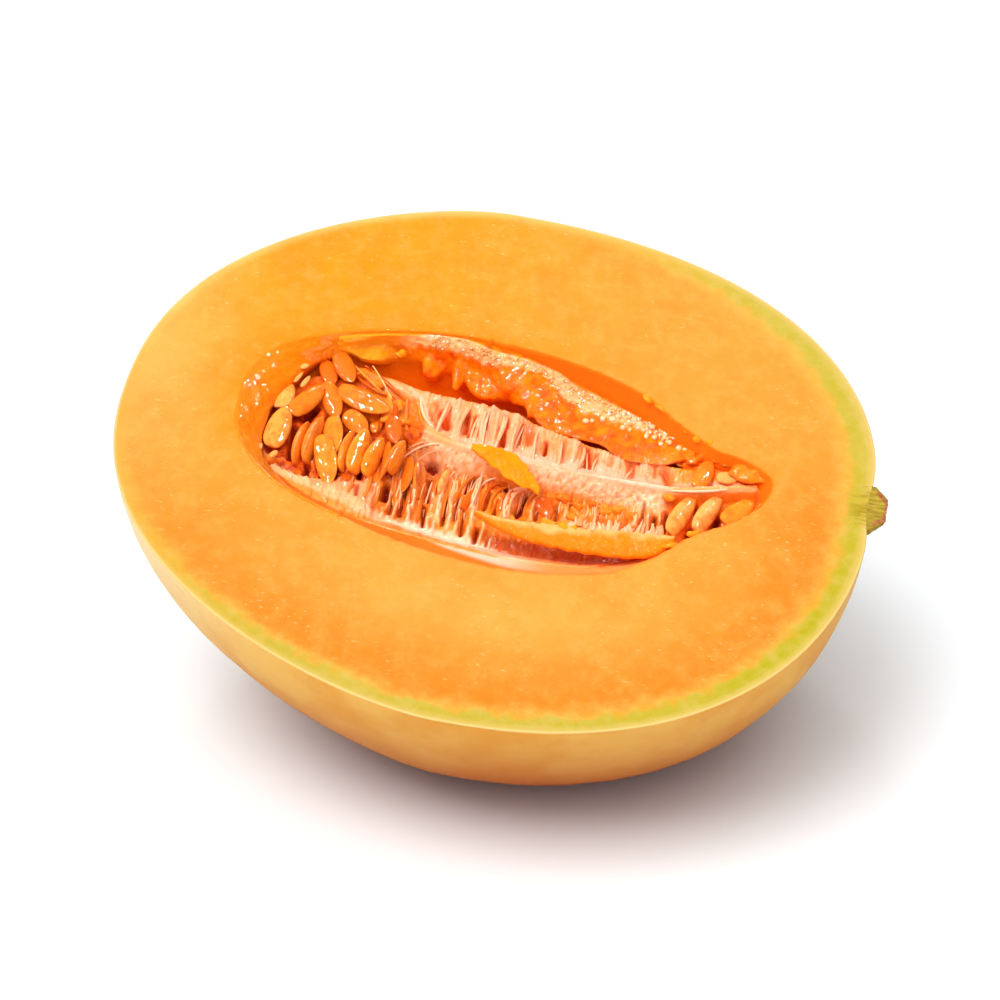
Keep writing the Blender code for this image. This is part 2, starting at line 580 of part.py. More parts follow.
def main():
    for old in list(bpy.data.objects):
        bpy.data.objects.remove(old)
    body = melon_half(food_material("flesh", (0.98, 0.40, 0.07), 0.35))
    parts = [
        body,
        seed_pulp(food_material("pulp", (0.93, 0.42, 0.17), 0.3)),
        gel_ridge(food_material("gel", (0.95, 0.30, 0.03), 0.15)),
        flap("pulp_shred", SHRED_PATH, SHRED_HALF, SHRED_DEPTH, SHRED_THICK, SHRED_LEAN,
             food_material("shred", (0.97, 0.30, 0.01), 0.2)),
        flap("flesh_slab", SLAB_PATH, SLAB_HALF, SLAB_DEPTH, SLAB_THICK, SLAB_LEAN,
             food_material("slab", (0.97, 0.42, 0.08), 0.3)),
        stem(food_material("stem_green", (0.42, 0.30, 0.04), 0.7)),
    ]
    lay_down(parts, [cut_stem_socket(body)])


main()
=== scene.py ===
import math

import bpy
import numpy as np
from bpy.props import FloatProperty, FloatVectorProperty, IntProperty, PointerProperty
from mathutils import Euler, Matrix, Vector


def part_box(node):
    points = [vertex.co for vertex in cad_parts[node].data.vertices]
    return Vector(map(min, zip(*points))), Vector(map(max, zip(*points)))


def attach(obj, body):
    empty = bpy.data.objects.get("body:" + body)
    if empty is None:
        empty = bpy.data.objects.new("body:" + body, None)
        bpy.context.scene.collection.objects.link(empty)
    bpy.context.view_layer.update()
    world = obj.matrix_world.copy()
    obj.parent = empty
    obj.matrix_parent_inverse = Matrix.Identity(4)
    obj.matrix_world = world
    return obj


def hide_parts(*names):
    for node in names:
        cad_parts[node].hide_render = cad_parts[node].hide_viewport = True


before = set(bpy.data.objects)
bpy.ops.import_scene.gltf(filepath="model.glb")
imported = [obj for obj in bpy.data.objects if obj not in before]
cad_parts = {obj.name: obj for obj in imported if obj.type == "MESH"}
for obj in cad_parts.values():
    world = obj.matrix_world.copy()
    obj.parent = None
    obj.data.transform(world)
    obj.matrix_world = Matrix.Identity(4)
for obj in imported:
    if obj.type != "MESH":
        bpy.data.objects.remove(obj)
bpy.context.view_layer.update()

bl_info = {
    "name": "Melon Half",
    "version": (1, 0, 0),
    "blender": (4, 5, 0),
    "location": "View3D > Sidebar > Melon",
    "description": "Dresses the plain solids of a halved melon as ripe, wet fruit",
    "category": "Object",
}

# Shapes are worked out in the fruit's own axes, in mm, with the origin in the middle of the
# cut face: u runs along the fruit to the stem, v across the face away from the low side, and
# w squarely out of the face. A depth is a distance below the face.
MM = 0.001

# The whole fruit
HALF_LENGTH = 85.0
FAR_HALF_WIDTH = 69.6
NEAR_HALF_WIDTH = 74.0
DEPTH = 74.0
FAR_WIDEST = -0.125
NEAR_WIDEST = 0.026
DEEPEST = 0.003
BLOSSOM_POWER = 1.604
STEM_POWER = 2.245
FULLNESS = 2.263
FACE_TILT = math.radians(24.07)
STEM_DIP = math.radians(6.15)

# The body's mesh. Points round it, and its rows from the foot up: climbs up the rind in degrees,
# bends over the rounded cut edge, steps across the face, and reaches down the cavity's wall,
# close together by the rim. Rows in threes are the first, the last and how many.
AROUND = 384
RIND_CLIMBS = (2, 88.6, 54)
CUT_BENDS = (0, 25, 50, 72, 90)
CUT_ROUND = 0.55
FACE_STEPS = (0.012, 1, 46)
RIM_REACHES = (1.014, 1.006, 1.0, 0.996, 0.992, 0.987, 0.98, 0.97)
UPPER_WALL = (0.955, 0.6, 34)
LOWER_WALL = (0.57, 0.04, 16)
# The mark of what lies in the cavity, its depth, and how far the foot is eased above the ground
IN_CAVITY = 30.0
CAVITY_BOTTOM = 29.0
GROUND_EASE = 0.2

# The stations of the CAD body, which the fruit is laid in place by: points round it, climbs
CAD_AROUND = 72
CAD_CLIMBS = (9, 19, 29, 39, 49, 58, 67, 75, 82)

# The layer under the rind, round the outline: degrees from the stem, how strong its green is, how
# wide it is, and how lively its green is
GREEN_LAYER = (
    (0, 1, 8.6, 0.7), (20, 1, 9.0, 0.6), (45, 1, 8.0, 0.5), (62, 0.9, 6.4, 0.4),
    (80, 0.5, 4.4, 0.2), (100, 0.1, 3.0, 0), (150, 0.12, 3.0, 0), (190, 0.3, 3.6, 0.1),
    (212, 0.65, 4.2, 0.4), (232, 0.9, 4.8, 0.5), (255, 1, 5.2, 0.4), (275, 1, 5.6, 0.45),
    (300, 1, 6.2, 0.7), (325, 1, 7.2, 1), (345, 1, 8.2, 0.9), (360, 1, 8.6, 0.7),
)

# Scars of the skin: along, across, and half the length
SCARS = ((-47.5, -52.0, 1.4), (-45.0, -54.2, 0.9))

# The seed cavity
RIM_CENTRE = (2.0, -2.0)
RIM_HALF = (60.0, 31.0)
RIM_POINTS = (
    (62, 3.5), (56, 7.5), (48, 9.5), (40, 14.5), (30, 21.5), (18, 26), (0, 29), (-20, 28.5),
    (-38, 24.5), (-50, 19), (-57.5, 8), (-57.5, -3), (-53, -13.5), (-44, -21), (-28, -27.2),
    (-8, -32.2), (12, -33.2), (29, -30), (38, -24.5), (47, -15.5), (56, -9), (61.5, -2),
)
FAR_WALL = ((0, 0.55, 0.8, 0.93, 0.985, 1), (29, 26, 20, 12, 5, 0))
NEAR_WALL = ((0, 0.35, 0.55, 0.66, 0.86, 1), (29, 23, 15, 9.5, 4, 0))
END_WALL = ((0, 0.3, 0.6, 0.85, 0.94, 1), (29, 26, 19, 12, 6.8, 0))

# The seed pulp, by lines that run along the fruit
RIB_LINE = (
    (-60, -20, -10, 0, 10, 25, 40, 48, 55, 62), (6, 5, 1.6, 0.8, -0.7, -1, -0.9, 0.6, 1.4, 1),
)
RIB_DEPTH = ((-60, -22, -15, 0, 20, 40, 50, 58), (9, 7.5, 5, 4.5, 4.2, 3.6, 2.4, 1.6))
EDGE_LINE = (
    (-60, -30, -20, 0, 10, 20, 28, 36, 48, 62), (18.4, 18.6, 16.6, 15.0, 12, 9.8, 8, 7.2, 5, 3),
)
EDGE_DEPTH = ((-60, -30, 0, 25, 40, 60), (8, 7, 7, 7.5, 6, 4))
HOLLOW_DEPTH = (
    (-60, -37, -31, -20, 5, 12, 20, 30, 38, 46, 60), (9, 9, 17, 24, 24, 20, 16, 14.5, 12, 5.5, 4.6),
)
SOCKET_FILL = 2.8
TROUGH_DEPTH = ((-60, -40, -20, 0, 28, 40, 48, 62), (10, 11, 12.5, 13, 11, 7.2, 6.2, 5.4))
# The bed of the heap of seeds and where it ends, where the hollow starts, and how wide the rib's
# near side and the hollow's edge are
HEAP_DEPTH = 6.8
HEAP_END = (-27.0, -17.0)
HOLLOW_START = (-36.0, -30.0)
RIB_FACE = 5.0
HOLLOW_STEP = 3.4

# The pulp's mesh: stations along the fruit, and points across its upper and its under side
PULP_SPAN = (-54.0, 60.0)
PULP_GRID = (400, 196, 20)

# How far out the pulp reaches, as a share of the rim's reach, by half turns from the stem
PULP_LIMIT = ((0, 0.25, 0.5, 0.75, 1, 1.25, 1.5, 1.75, 2),
              (0.97, 0.93, 0.86, 0.90, 0.95, 0.88, 0.78, 0.86, 0.97))

# Steps along a line of sight to the pulp, and the share of the gap that each one closes
SIGHT_STEPS = 26
SIGHT_SHARE = 0.35

# Seeds: along, across, depth, heading, pitch, roll, length, width. The buried ones lie half under
# the fibres, and the pale ones are unripe.
SEEDS = (
    (-49.2, -2.3, 5.4, 86, 4, 10, 11.6, 5.6),
    (-50.6, 7.4, 5.9, 85, 0, -10, 8.0, 5.2),
    (-45.0, 7.0, 5.6, 58, 6, 8, 10.4, 5.0),
    (-39.7, 8.6, 6.0, -60, 0, 24, 11.0, 4.8),
    (-32.3, 9.7, 5.2, -20, 2, -4, 13.6, 6.0),
    (-38.9, 18.2, 5.2, -56, 0, 6, 10.0, 4.6),
    (-42.3, 16.6, 6.4, -62, 0, 0, 7.5, 4.0),
    (-32.8, 3.8, 6.4, -38, 0, 16, 7.6, 4.8),
    (-23.9, 3.2, 5.9, -68, 0, 22, 7.8, 4.0),
    (-43.5, -4.6, 6.8, 88, 6, 70, 12.0, 4.6),
    (-40.9, -3.4, 6.3, 85, 6, 62, 13.0, 4.8),
    (-37.0, -1.8, 6.2, -79, -4, 28, 11.6, 5.2),
    (-36.7, -8.6, 5.8, -68, -9, 15, 12.8, 5.2),
    (-32.9, -4.4, 6.8, 88, 4, 70, 11.6, 4.6),
    (-30.0, -4.6, 6.0, 86, 6, 40, 12.2, 5.0),
    (-26.5, -5.2, 6.3, 80, 6, 52, 10.8, 4.7),
    (-23.9, -5.2, 6.9, -86, 0, 72, 10.4, 4.4),
    (-21.6, -3.8, 6.5, 80, 4, 52, 9.4, 4.3),
    (43.6, -6.9, 4.9, 72, -4, 28, 13.0, 4.4),
    (49.2, -5.6, 4.5, 70, -4, 34, 12.4, 4.4),
    (55.6, -3.5, 4.6, 52, 0, 12, 9.4, 4.6),
    (46.6, 4.3, 3.7, 74, 0, 14, 8.4, 4.4),
)
BURIED_SEEDS = (
    (-25.0, -11.1, 8.2, -75, 0, 20, 6.4, 4.2),
    (-18.6, -6.6, 8.6, -85, 0, 34, 10.0, 3.2),
    (-9.9, -7.2, 8.0, 84, 0, 66, 7.4, 3.0),
    (-3.4, -9.4, 9.6, 70, 0, 60, 7.0, 3.0),
    (13.4, -8.6, 8.8, -58, 0, 10, 6.0, 3.6),
)
PALE_SEEDS = (
    (-47.6, 15.3, 3.8, 40, 0, 0, 2.2, 1.5),
    (-48.2, 11.9, 4.0, 70, 0, 10, 3.4, 1.0),
    (-46.3, 11.0, 3.9, 72, 0, 10, 3.8, 1.2),
    (-51.5, -10.1, 3.8, 80, 0, 0, 2.8, 1.3),
    (-48.0, -10.9, 4.0, 60, 0, 0, 2.4, 1.5),
    (52.0, 5.0, 4.0, 10, 0, 0, 5.2, 3.4),
    (60.6, -2.4, 3.4, 76, 0, 20, 4.2, 1.9),
)
# How dark each seed is, from -1 to 1; its thickness as a share of its width; stations and sides
SEED_TONES = (
    -0.2, -0.3, 0.4, 0.5, 0.35, 0.6, 0.7, 0.35, 0.8, 0.3, 0.3, 0.2, 0.15, 0.1, 0.05, 0.1, 0.6, 0.4,
    -0.3, -0.5, 0.1, 0.2, 0.5, 0.6, -0.7, 0.7, 0.8,
)
SEED_THICK = 0.44
SEED_GRID = (26, 20)

# Stations of the raised strands behind the rib
COMB_STRANDS = (-14.0, -9.0, -4.0, -0.5, 3.5, 8.5, 14.0, 18.5)

# What the pulp shows, placed where the camera sees it on the cut face: along and across its
# upper end, along and across its lower end, half its width, and how strong it is
# The gaps are sunk and painted dark as shade
COMB_GAPS = (
    (-13.2, 6.0, -11.3, 2.4, 0.95, 1.0), (-14.8, 7.6, -13.4, 4.6, 1.0, 0.45),
    (-15.2, 5.0, -12.6, 1.2, 0.6, 0.4), (-7.6, 6.8, -6.8, 1.6, 0.55, 0.7),
    (-5.7, 6.6, -5.7, 0.4, 0.3, 0.9), (1.0, 7.8, 1.4, 5.2, 0.6, 0.6),
    (1.0, 4.4, 1.6, -0.4, 0.55, 1.0), (5.2, 7.0, 5.2, 0.8, 0.22, 0.6),
    (6.7, 6.6, 7.4, 2.2, 1.1, 0.6), (11.4, 2.8, 11.6, -0.8, 0.38, 1.2),
    (15.3, 4.0, 15.4, -2.0, 0.5, 0.25), (20.2, 3.4, 21.6, -2.6, 1.1, 0.8),
    (22.4, 1.6, 21.8, -1.6, 0.5, 0.5), (30.6, 0.6, 31.2, -2.6, 0.8, 0.45),
    (38.2, 0.4, 39.6, -1.8, 1.1, 0.7), (26.3, 1.4, 26.0, -1.0, 0.3, 0.4),
    (-2.9, 7.6, -2.8, 3.0, 0.25, 0.5), (36.0, 1.6, 36.2, -1.4, 0.4, 0.4),
)
COMB_COLUMNS = (
    (-18.8, 9.6, -14.6, 1.2, 0.6, 0.9), (-11.0, 9.2, -8.6, 0.0, 1.2, 1.0),
    (-4.4, 9.6, -4.6, 0.0, 0.8, 1.0), (-2.3, 10.4, -2.3, -0.4, 0.8, 1.0),
    (-0.6, 8.4, -0.7, -0.8, 0.55, 0.9), (3.3, 8.6, 3.3, -0.6, 1.1, 1.0),
    (9.4, 5.6, 9.0, -1.0, 1.0, 0.8), (13.4, 5.6, 13.6, -1.4, 1.6, 0.1),
    (17.4, 4.6, 17.9, -1.6, 0.9, 0.9), (24.6, 2.6, 24.2, -2.4, 1.2, 1.0),
    (27.4, 2.2, 27.4, -2.4, 1.5, 1.0), (33.5, 1.6, 33.8, -2.6, 1.6, 0.7),
)
TROUGH_WALLS = (
    (-15.6, -10.5, -14.6, -18.0, 0.7, 0.9), (-14.6, -18.0, -14.0, -25.0, 0.6, 0.8),
    (-9.9, -16.5, -9.6, -25.0, 0.7, 0.8), (-8.4, -9.5, -8.0, -24.5, 0.7, 0.9),
    (-6.2, -12.0, -5.4, -17.0, 0.6, 0.7), (-5.6, -18.0, -5.3, -25.5, 0.6, 0.8),
    (-1.4, -10.5, -1.2, -19.0, 0.6, 1.0), (-3.6, -20.0, -3.4, -26.0, 0.5, 0.8),
    (-0.6, -19.0, -0.4, -27.0, 0.7, 0.8), (2.4, -21.0, 2.6, -27.5, 0.5, 0.7),
    (8.9, -11.6, 6.6, -14.0, 0.8, 1.2), (6.6, -14.0, 6.4, -19.5, 0.9, 1.2),
    (11.6, -13.0, 12.0, -19.0, 0.6, 0.6), (14.6, -12.5, 15.0, -18.0, 0.5, 0.5),
    (18.6, -13.0, 19.0, -17.5, 0.6, 0.5), (25.0, -10.5, 25.4, -16.0, 0.6, 0.6),
    (34.0, -8.5, 34.2, -15.5, 0.8, 0.8), (36.6, -8.0, 36.8, -15.5, 0.6, 0.8),
    (39.2, -7.0, 39.4, -15.5, 0.5, 0.8), (-17.6, -15.0, -17.2, -24.0, 0.4, 0.7),
    (-19.4, -13.0, -19.4, -23.0, 0.4, 0.6), (-24.4, -16.5, -23.2, -22.5, 0.7, 0.8),
    (-28.0, -17.0, -27.0, -21.5, 0.8, 0.9), (4.9, -24.0, 5.0, -27.6, 0.4, 0.6),
)
# The edges of the pale band by the near wall, pits placed as above and painted dark as shade,
# and the white crest's line
PALE_BAND_TOP = (
    (-54, -50, -45, -40, -35, -30, -25, -20, -15, -10, -5, 0, 5, 10, 20, 30, 36, 44),
    (-8, -12, -16, -18, -19.5, -20.5, -22.5, -24, -24.8, -25.2, -26, -26.5, -28, -29, -29.5, -28,
     -26, -21),
)
PALE_BAND_FOOT = (
    (-54, -50, -45, -40, -35, -30, -25, -20, -15, -10, -5, 0, 5, 10, 20, 30, 36, 44),
    (-10, -15, -19, -20.5, -22, -23.5, -25.5, -26.8, -28, -29, -30.5, -31.5, -32.3, -32.8, -32.4,
     -30, -28, -23),
)

SHADED_PITS = (
    (-12.3, -9.0, -11.9, -9.4, 1.2, 1.5), (-12.2, -10.8, -11.9, -16.0, 1.5, 0.45),
    (-11.9, -12.5, -11.4, -18.0, 0.7, 1.0), (-19.9, -3.0, -19.6, -4.6, 0.6, 1.1),
    (-20.7, -16.5, -20.5, -19.8, 0.7, 1.2), (-17.0, -9.3, -16.8, -10.4, 0.5, 1.0),
    (-16.8, -14.0, -16.2, -23.5, 0.35, 0.9), (-18.9, -19.5, -18.5, -24.0, 0.3, 0.8),
    (-2.2, -10.6, -3.6, -13.6, 0.9, 1.1), (-4.4, -16.5, -4.2, -22.0, 0.4, 0.8),
    (-2.6, -20.0, -2.1, -26.0, 0.4, 0.7), (-7.0, -17.5, -6.6, -24.0, 0.4, 0.8),
    (-11.6, -20.0, -10.6, -25.4, 0.4, 1.0), (1.0, -23.4, 1.3, -27.0, 0.45, 1.1),
    (3.7, -23.6, 4.0, -27.4, 0.35, 0.5), (4.8, -10.7, 5.9, -11.9, 0.75, 1.1),
    (9.5, -13.0, 8.7, -17.4, 0.75, 1.1), (3.9, -15.0, 3.9, -19.0, 0.4, 0.8),
    (1.8, -13.4, 1.4, -18.0, 0.35, 0.6), (12.8, -15.4, 12.9, -18.0, 0.4, 0.7),
    (16.8, -13.4, 17.2, -17.0, 0.5, 0.7), (38.2, -12.0, 38.3, -16.0, 0.4, 1.0),
    (35.4, -9.0, 35.4, -14.0, 0.3, 0.7), (40.6, -10.0, 40.8, -15.0, 0.4, 0.9),
    (51.6, -8.0, 51.2, -10.6, 0.8, 1.2), (46.1, -12.0, 45.8, -15.6, 0.5, 1.1),
    (46.6, -6.0, 46.6, -8.0, 0.4, 0.8), (-42.6, -1.6, -41.6, 1.8, 0.9, 1.3),
    (-37.8, -0.6, -35.6, 0.4, 0.8, 1.2), (-44.3, -5.0, -43.6, -13.0, 0.7, 1.1),
    (-33.3, -3.4, -33.6, -6.4, 0.5, 1.0), (-32.9, -12.5, -32.8, -16.0, 0.5, 1.0),
    (-39.2, -14.6, -39.0, -17.6, 0.5, 1.1), (-27.7, -13.0, -27.4, -15.4, 0.5, 1.0),
    (-22.8, -5.0, -22.6, -12.5, 0.5, 1.1), (-26.8, -18.5, -26.4, -21.0, 0.35, 0.7),
    (-29.6, 0.8, -28.6, 0.2, 0.6, 1.1), (-41.2, -3.4, -41.4, -9.0, 0.4, 0.8),
    (-35.5, -16.5, -35.4, -18.0, 0.3, 0.7), (29.0, -8.4, 30.2, -8.2, 0.35, 0.6),
    (33.6, -7.8, 34.2, -8.6, 0.35, 0.6), (22.6, -8.6, 23.4, -9.0, 0.3, 0.5),
)
CREST_LINE = (
    (-30, -24, -18.5, -15.9, -12.5, -9.7, -5, 0, 4, 13, 20, 27, 34, 40, 44, 49, 54, 59.5, 64),
    (12, 10, 6.6, 1.2, -1.0, -2, -2.7, -2.7, -2.9, -3.2, -3.4, -4.1, -4.3, -4.4, -3.7, -2.4, -0.9,
     0.6, 1),
)

# The gel ridge on the far wall: its upper and lower edge as seen on the face, and their depths
RIDGE_SPAN = (-41.0, 44.0)
RIDGE_TOP = (
    (-44, -40, -30, -25, -20, -15, -10, -5, 0, 5, 10, 15, 20, 24, 28, 34, 40, 46),
    (21.0, 22.6, 25.3, 26.5, 28, 28.2, 27.5, 26, 25.6, 24.6, 23.0, 20, 18.2, 16.5, 15, 13, 9.8,
     6.0),
)
RIDGE_TOP_DEPTH = (
    (-44, -30, -10, 0, 10, 20, 30, 40, 46), (0.5, 0.5, 0.9, 2.4, 4.8, 7.0, 7.2, 5.5, 4.0),
)
RIDGE_LIP = (
    (-44, -38, -33, -30, -27.5, -24, -21.2, -20.4, -19.6, -18.2, -16.8, -16.0, -15.0, -13.8, -13.1,
     -12.5, -11.7, -11.1, -10.3, -8.8, -7, -5, -3, -1.6, 0.6, 2.2, 3.8, 5, 5.8, 7, 8, 10, 13, 16,
     18, 20, 22, 24, 26, 28, 30, 34, 38, 41, 44),
    (19.0, 18.6, 17.2, 17.4, 19.0, 19.8, 19.3, 17.2, 15.6, 14.9, 15.6, 17.0, 18.1, 17.8, 15.2, 13.4,
     13.0, 13.7, 15.5, 13.9, 12.5, 11.8, 11.9, 12.6, 12.7, 12.2, 12.1, 10.8, 8.8, 9.2, 8.0, 6.7,
     6.1, 5.4, 5.0, 5.1, 4.9, 4.2, 2.8, 2.0, 1.6, 1.8, 2.4, 4.2, 6.2),
)
RIDGE_LIP_DEPTH = (
    (-44, -38, -30, -18, -8, 0, 6, 20, 30, 40, 46),
    (3.6, 4.2, 6.5, 9.5, 10.6, 10.6, 8.4, 7.6, 6.6, 5.2, 4.6),
)
RIDGE_THICK = 2.2

# Where the comb's left side lies, and how far the pale film reaches down the ridge
COMB_START = (
    (-26, -14, -8, -4, -1, 1, 3, 5, 8, 10, 13),
    (-22, -21.5, -19, -17.2, -16.4, -16.4, -17.4, -18.4, -19.8, -21.2, -25),
)
FILM_REACH = (
    (-30, -22, -10, 0, 6, 12, 18, 24, 30, 38), (2.5, 3.8, 4.2, 3.0, 2.4, 5.0, 6.0, 4.0, 3.4, 2.5),
)

# Pale drops as seen on the face, and gel lumps: the same, how far they stand out of the pulp
# they lie on, and half sizes
WHITE_DROPS = (
    (24.3, 12.5), (27.0, 10.5), (28.7, 10.3), (30.6, 12.4), (32.6, 9.4), (34.4, 9.4), (36.6, 9.9),
    (36.1, 8.0), (40.2, 7.6), (41.6, 7.5), (22.2, 12.1), (33.4, 12.3), (26.6, 15.0), (23.2, 14.6),
    (29.2, 13.4), (38.0, 8.8), (20.0, 11.0), (18.6, 10.6), (31.6, 11.0), (25.4, 13.6),
)
GEL_POOLS = (
    (56.8, 4.2, 2.0, 5.0, 2.6, 1.2), (60.4, 5.6, 1.4, 2.0, 1.3, 0.8),
    (52.0, 6.0, 1.2, 4.0, 1.1, 0.9), (43.8, 5.8, 1.4, 2.2, 1.6, 1.0),
    (46.8, 7.0, 1.2, 2.0, 1.0, 0.8), (42.6, 3.2, 0.8, 2.2, 0.9, 0.7),
    (-25.0, 1.2, 1.4, 1.3, 1.0, 0.8), (-23.4, 5.4, 0.8, 1.2, 1.7, 0.8),
    (-26.8, -1.8, 0.8, 0.9, 1.4, 0.7), (-21.2, 1.4, 0.5, 1.6, 0.9, 0.7),
    (-29.0, 11.0, 0.4, 2.4, 1.0, 0.7), (-34.2, 12.4, 0.8, 2.2, 0.9, 0.8),
    (13.6, -13.0, 0.3, 1.4, 1.2, 0.9), (17.8, -11.8, 0.3, 1.7, 0.9, 0.8),
    (21.8, -13.4, 0.3, 1.6, 1.2, 0.9), (27.6, -12.8, 0.4, 1.8, 1.5, 0.9),
    (30.6, -12.2, 0.3, 1.7, 1.1, 0.8), (33.2, -13.6, 0.2, 1.2, 0.9, 0.7),
    (24.6, -12.0, 0.2, 1.1, 0.9, 0.7), (40.4, -6.4, 0.3, 1.5, 1.2, 0.8),
    (20.6, -16.6, 0.3, 1.6, 0.8, 0.6), (44.4, 4.6, 0.4, 2.0, 1.0, 0.8),
    (36.0, 3.6, 0.2, 2.4, 0.8, 0.6), (-47.4, -15.4, 0.6, 2.4, 0.9, 0.7),
)

# Strands of gel: three places seen on the face, how far they stand out, and their radius
GEL_STRANDS = (
    (-15.4, -8.8, -15.2, -13.5, -13.2, -19.0, 0.5, 0.5),
    (-9.2, -8.4, -8.8, -12.0, -9.5, -17.2, 0.5, 0.45),
    (-18.8, -10.0, -19.1, -15.0, -18.0, -22.0, 0.4, 0.6),
    (-17.4, -9.0, -16.9, -15.0, -15.6, -22.0, 0.3, 0.45),
    (-2.2, -10.0, -4.4, -13.4, -5.2, -18.6, 0.5, 0.45),
    (-7.0, -12.0, -7.3, -17.0, -6.9, -23.0, 0.3, 0.4),
    (4.8, -10.4, 1.5, -13.0, 1.2, -19.0, 0.5, 0.5), (5.6, -11.4, 2.9, -14.2, 2.8, -19.4, 0.5, 0.45),
    (6.2, -12.8, 4.5, -15.4, 4.6, -19.6, 0.5, 0.4),
    (12.4, -11.0, 10.6, -14.0, 10.4, -18.6, 0.5, 0.5),
    (12.8, -11.6, 14.4, -14.0, 14.0, -18.4, 0.4, 0.4),
    (16.0, -10.6, 18.8, -12.8, 22.6, -11.8, 0.4, 0.45),
    (24.0, -10.8, 26.4, -13.0, 29.8, -11.8, 0.4, 0.4),
    (31.0, -10.6, 32.4, -13.0, 35.2, -11.4, 0.3, 0.4),
    (-25.2, 7.8, -23.4, 3.4, -24.0, -1.6, 1.4, 0.6),
    (-21.8, 8.8, -21.0, 3.4, -19.6, -1.2, 0.5, 0.5),
    (-19.4, 8.6, -17.9, 4.2, -16.0, 0.8, 0.4, 0.45),
    (-37.2, 15.8, -31.6, 11.6, -26.6, 7.4, 1.5, 0.45),
    (-36.0, 13.0, -31.0, 9.6, -26.4, 7.8, 1.6, 0.35),
    (-33.4, 15.4, -27.8, 11.8, -21.6, 7.0, 0.7, 0.5),
    (-26.6, 2.4, -25.8, -0.6, -26.4, -4.4, 1.0, 0.4),
    (-22.6, 1.4, -20.9, -2.2, -20.0, -6.8, 0.6, 0.45),
    (-3.0, -19.6, -2.9, -23.0, -2.4, -27.0, 0.2, 0.35),
    (-12.4, -18.6, -12.0, -22.0, -11.8, -25.0, 0.3, 0.35),
    (-28.4, -14.6, -28.0, -17.5, -28.4, -20.5, 0.3, 0.5),
    (-24.8, -14.6, -24.4, -18.0, -24.8, -21.6, 0.3, 0.5),
    (-22.6, -13.0, -22.2, -17.0, -21.8, -22.6, 0.3, 0.45),
    (6.6, -20.6, 7.4, -22.6, 8.8, -25.6, 0.2, 0.4),
)
PALE_STRANDS = (
    (9.6, -11.2, 6.2, -13.2, 6.2, -19.6, 0.8, 0.65), (9.0, -11.8, 7.0, -14.0, 7.1, -19.0, 0.6, 0.4),
    (-11.2, -3.0, -15.4, -4.6, -19.0, -9.0, 0.25, 0.3),
    (-9.4, -4.4, -13.4, -6.0, -15.8, -9.8, 0.15, 0.2),
    (-13.4, -2.6, -16.4, -4.0, -18.6, -6.4, 0.2, 0.22),
    (-1.0, -8.0, -0.9, -13.0, -1.5, -19.0, 0.5, 0.35),
    (0.4, -9.4, -1.8, -12.0, -2.4, -18.6, 0.4, 0.3),
    (-6.6, -9.8, -8.2, -14.0, -8.4, -23.0, 0.4, 0.3),
    (3.0, -9.4, -0.4, -12.4, -0.6, -18.4, 0.4, 0.3), (4.0, 9.2, 2.8, 11.4, 2.0, 13.0, 1.2, 0.2),
    (-18.9, 9.4, -17.2, 4.4, -14.0, 1.0, 0.5, 0.4), (40.0, -4.6, 47.0, -3.2, 53.0, -1.2, 0.5, 0.35),
)

# A thread that hangs loose: along, across, height
LOOSE_THREAD = ((-32.5, 19.1, -4.2), (-30.6, 16.6, -3.7), (-28.6, 13.8, -3.5), (-26.0, 10.6, -4.4))

# Where the fine fibres in front of the rib end, and the sockets that they leave open: the place
# along, half the width, and the foot
SOCKET_FLOOR = ((-30, -20, -2, 4, 12, 16, 38), (-20.5, -23.5, -27.0, -19.0, -18.6, -17.5, -14.5))
OPEN_SOCKETS = ((-12.4, 2.0, -21), (-3.2, 1.0, -18))

# The gel over the rim at the blossom end, by degrees round it and by the share of its own width
APRON_WIDTH = ((98, 112, 126, 138, 152, 170, 190, 215, 238),
               (0.006, 0.008, 0.02, 0.06, 0.11, 0.1, 0.08, 0.06, 0.01))
APRON_FALL = ((-1, -0.15, 0.0, 0.3, 0.6, 0.85, 1.0), (-0.06, -0.02, 0.05, 0.24, 0.5, 0.78, 1.0))
APRON_DEPTH = ((98, 120, 150, 200, 238), (1.4, 4.4, 5.2, 4.6, 1.6))

# The yellow shred and the pale slab: places along and across, half widths and depths
SHRED_PATH = ((-5.2, -0.4), (0.0, -1.9), (5.0, -3.8), (8.5, -5.8), (12.0, -8.2))
SHRED_HALF = (0.6, 2.2, 3.1, 2.2, 0.7)
SHRED_DEPTH = (2.2, 2.4, 2.8, 3.2, 3.9)
SLAB_PATH = (
    (-1.0, -16.9), (6.0, -19.0), (15.0, -19.8), (25.0, -19.6), (33.0, -19.4), (39.0, -18.9),
    (43.4, -17.0),
)
SLAB_HALF = (0.4, 1.35, 2.3, 2.9, 2.9, 2.5, 1.0)
SLAB_DEPTH = (4.2, 4.0, 3.6, 3.2, 2.6, 1.9, 1.3)

# The teeth over the slab: how many, between which places along, where they stand and how tall
TEETH = 46
TEETH_SPAN = (20.5, 41.0)
TEETH_FOOT = ((18, 24, 30, 36, 42), (-18.6, -18.9, -19.0, -18.6, -17.8))
TEETH_TALL = ((20, 24, 30, 36, 38, 42), (0.5, 0.9, 1.0, 1.35, 1.2, 0.6))

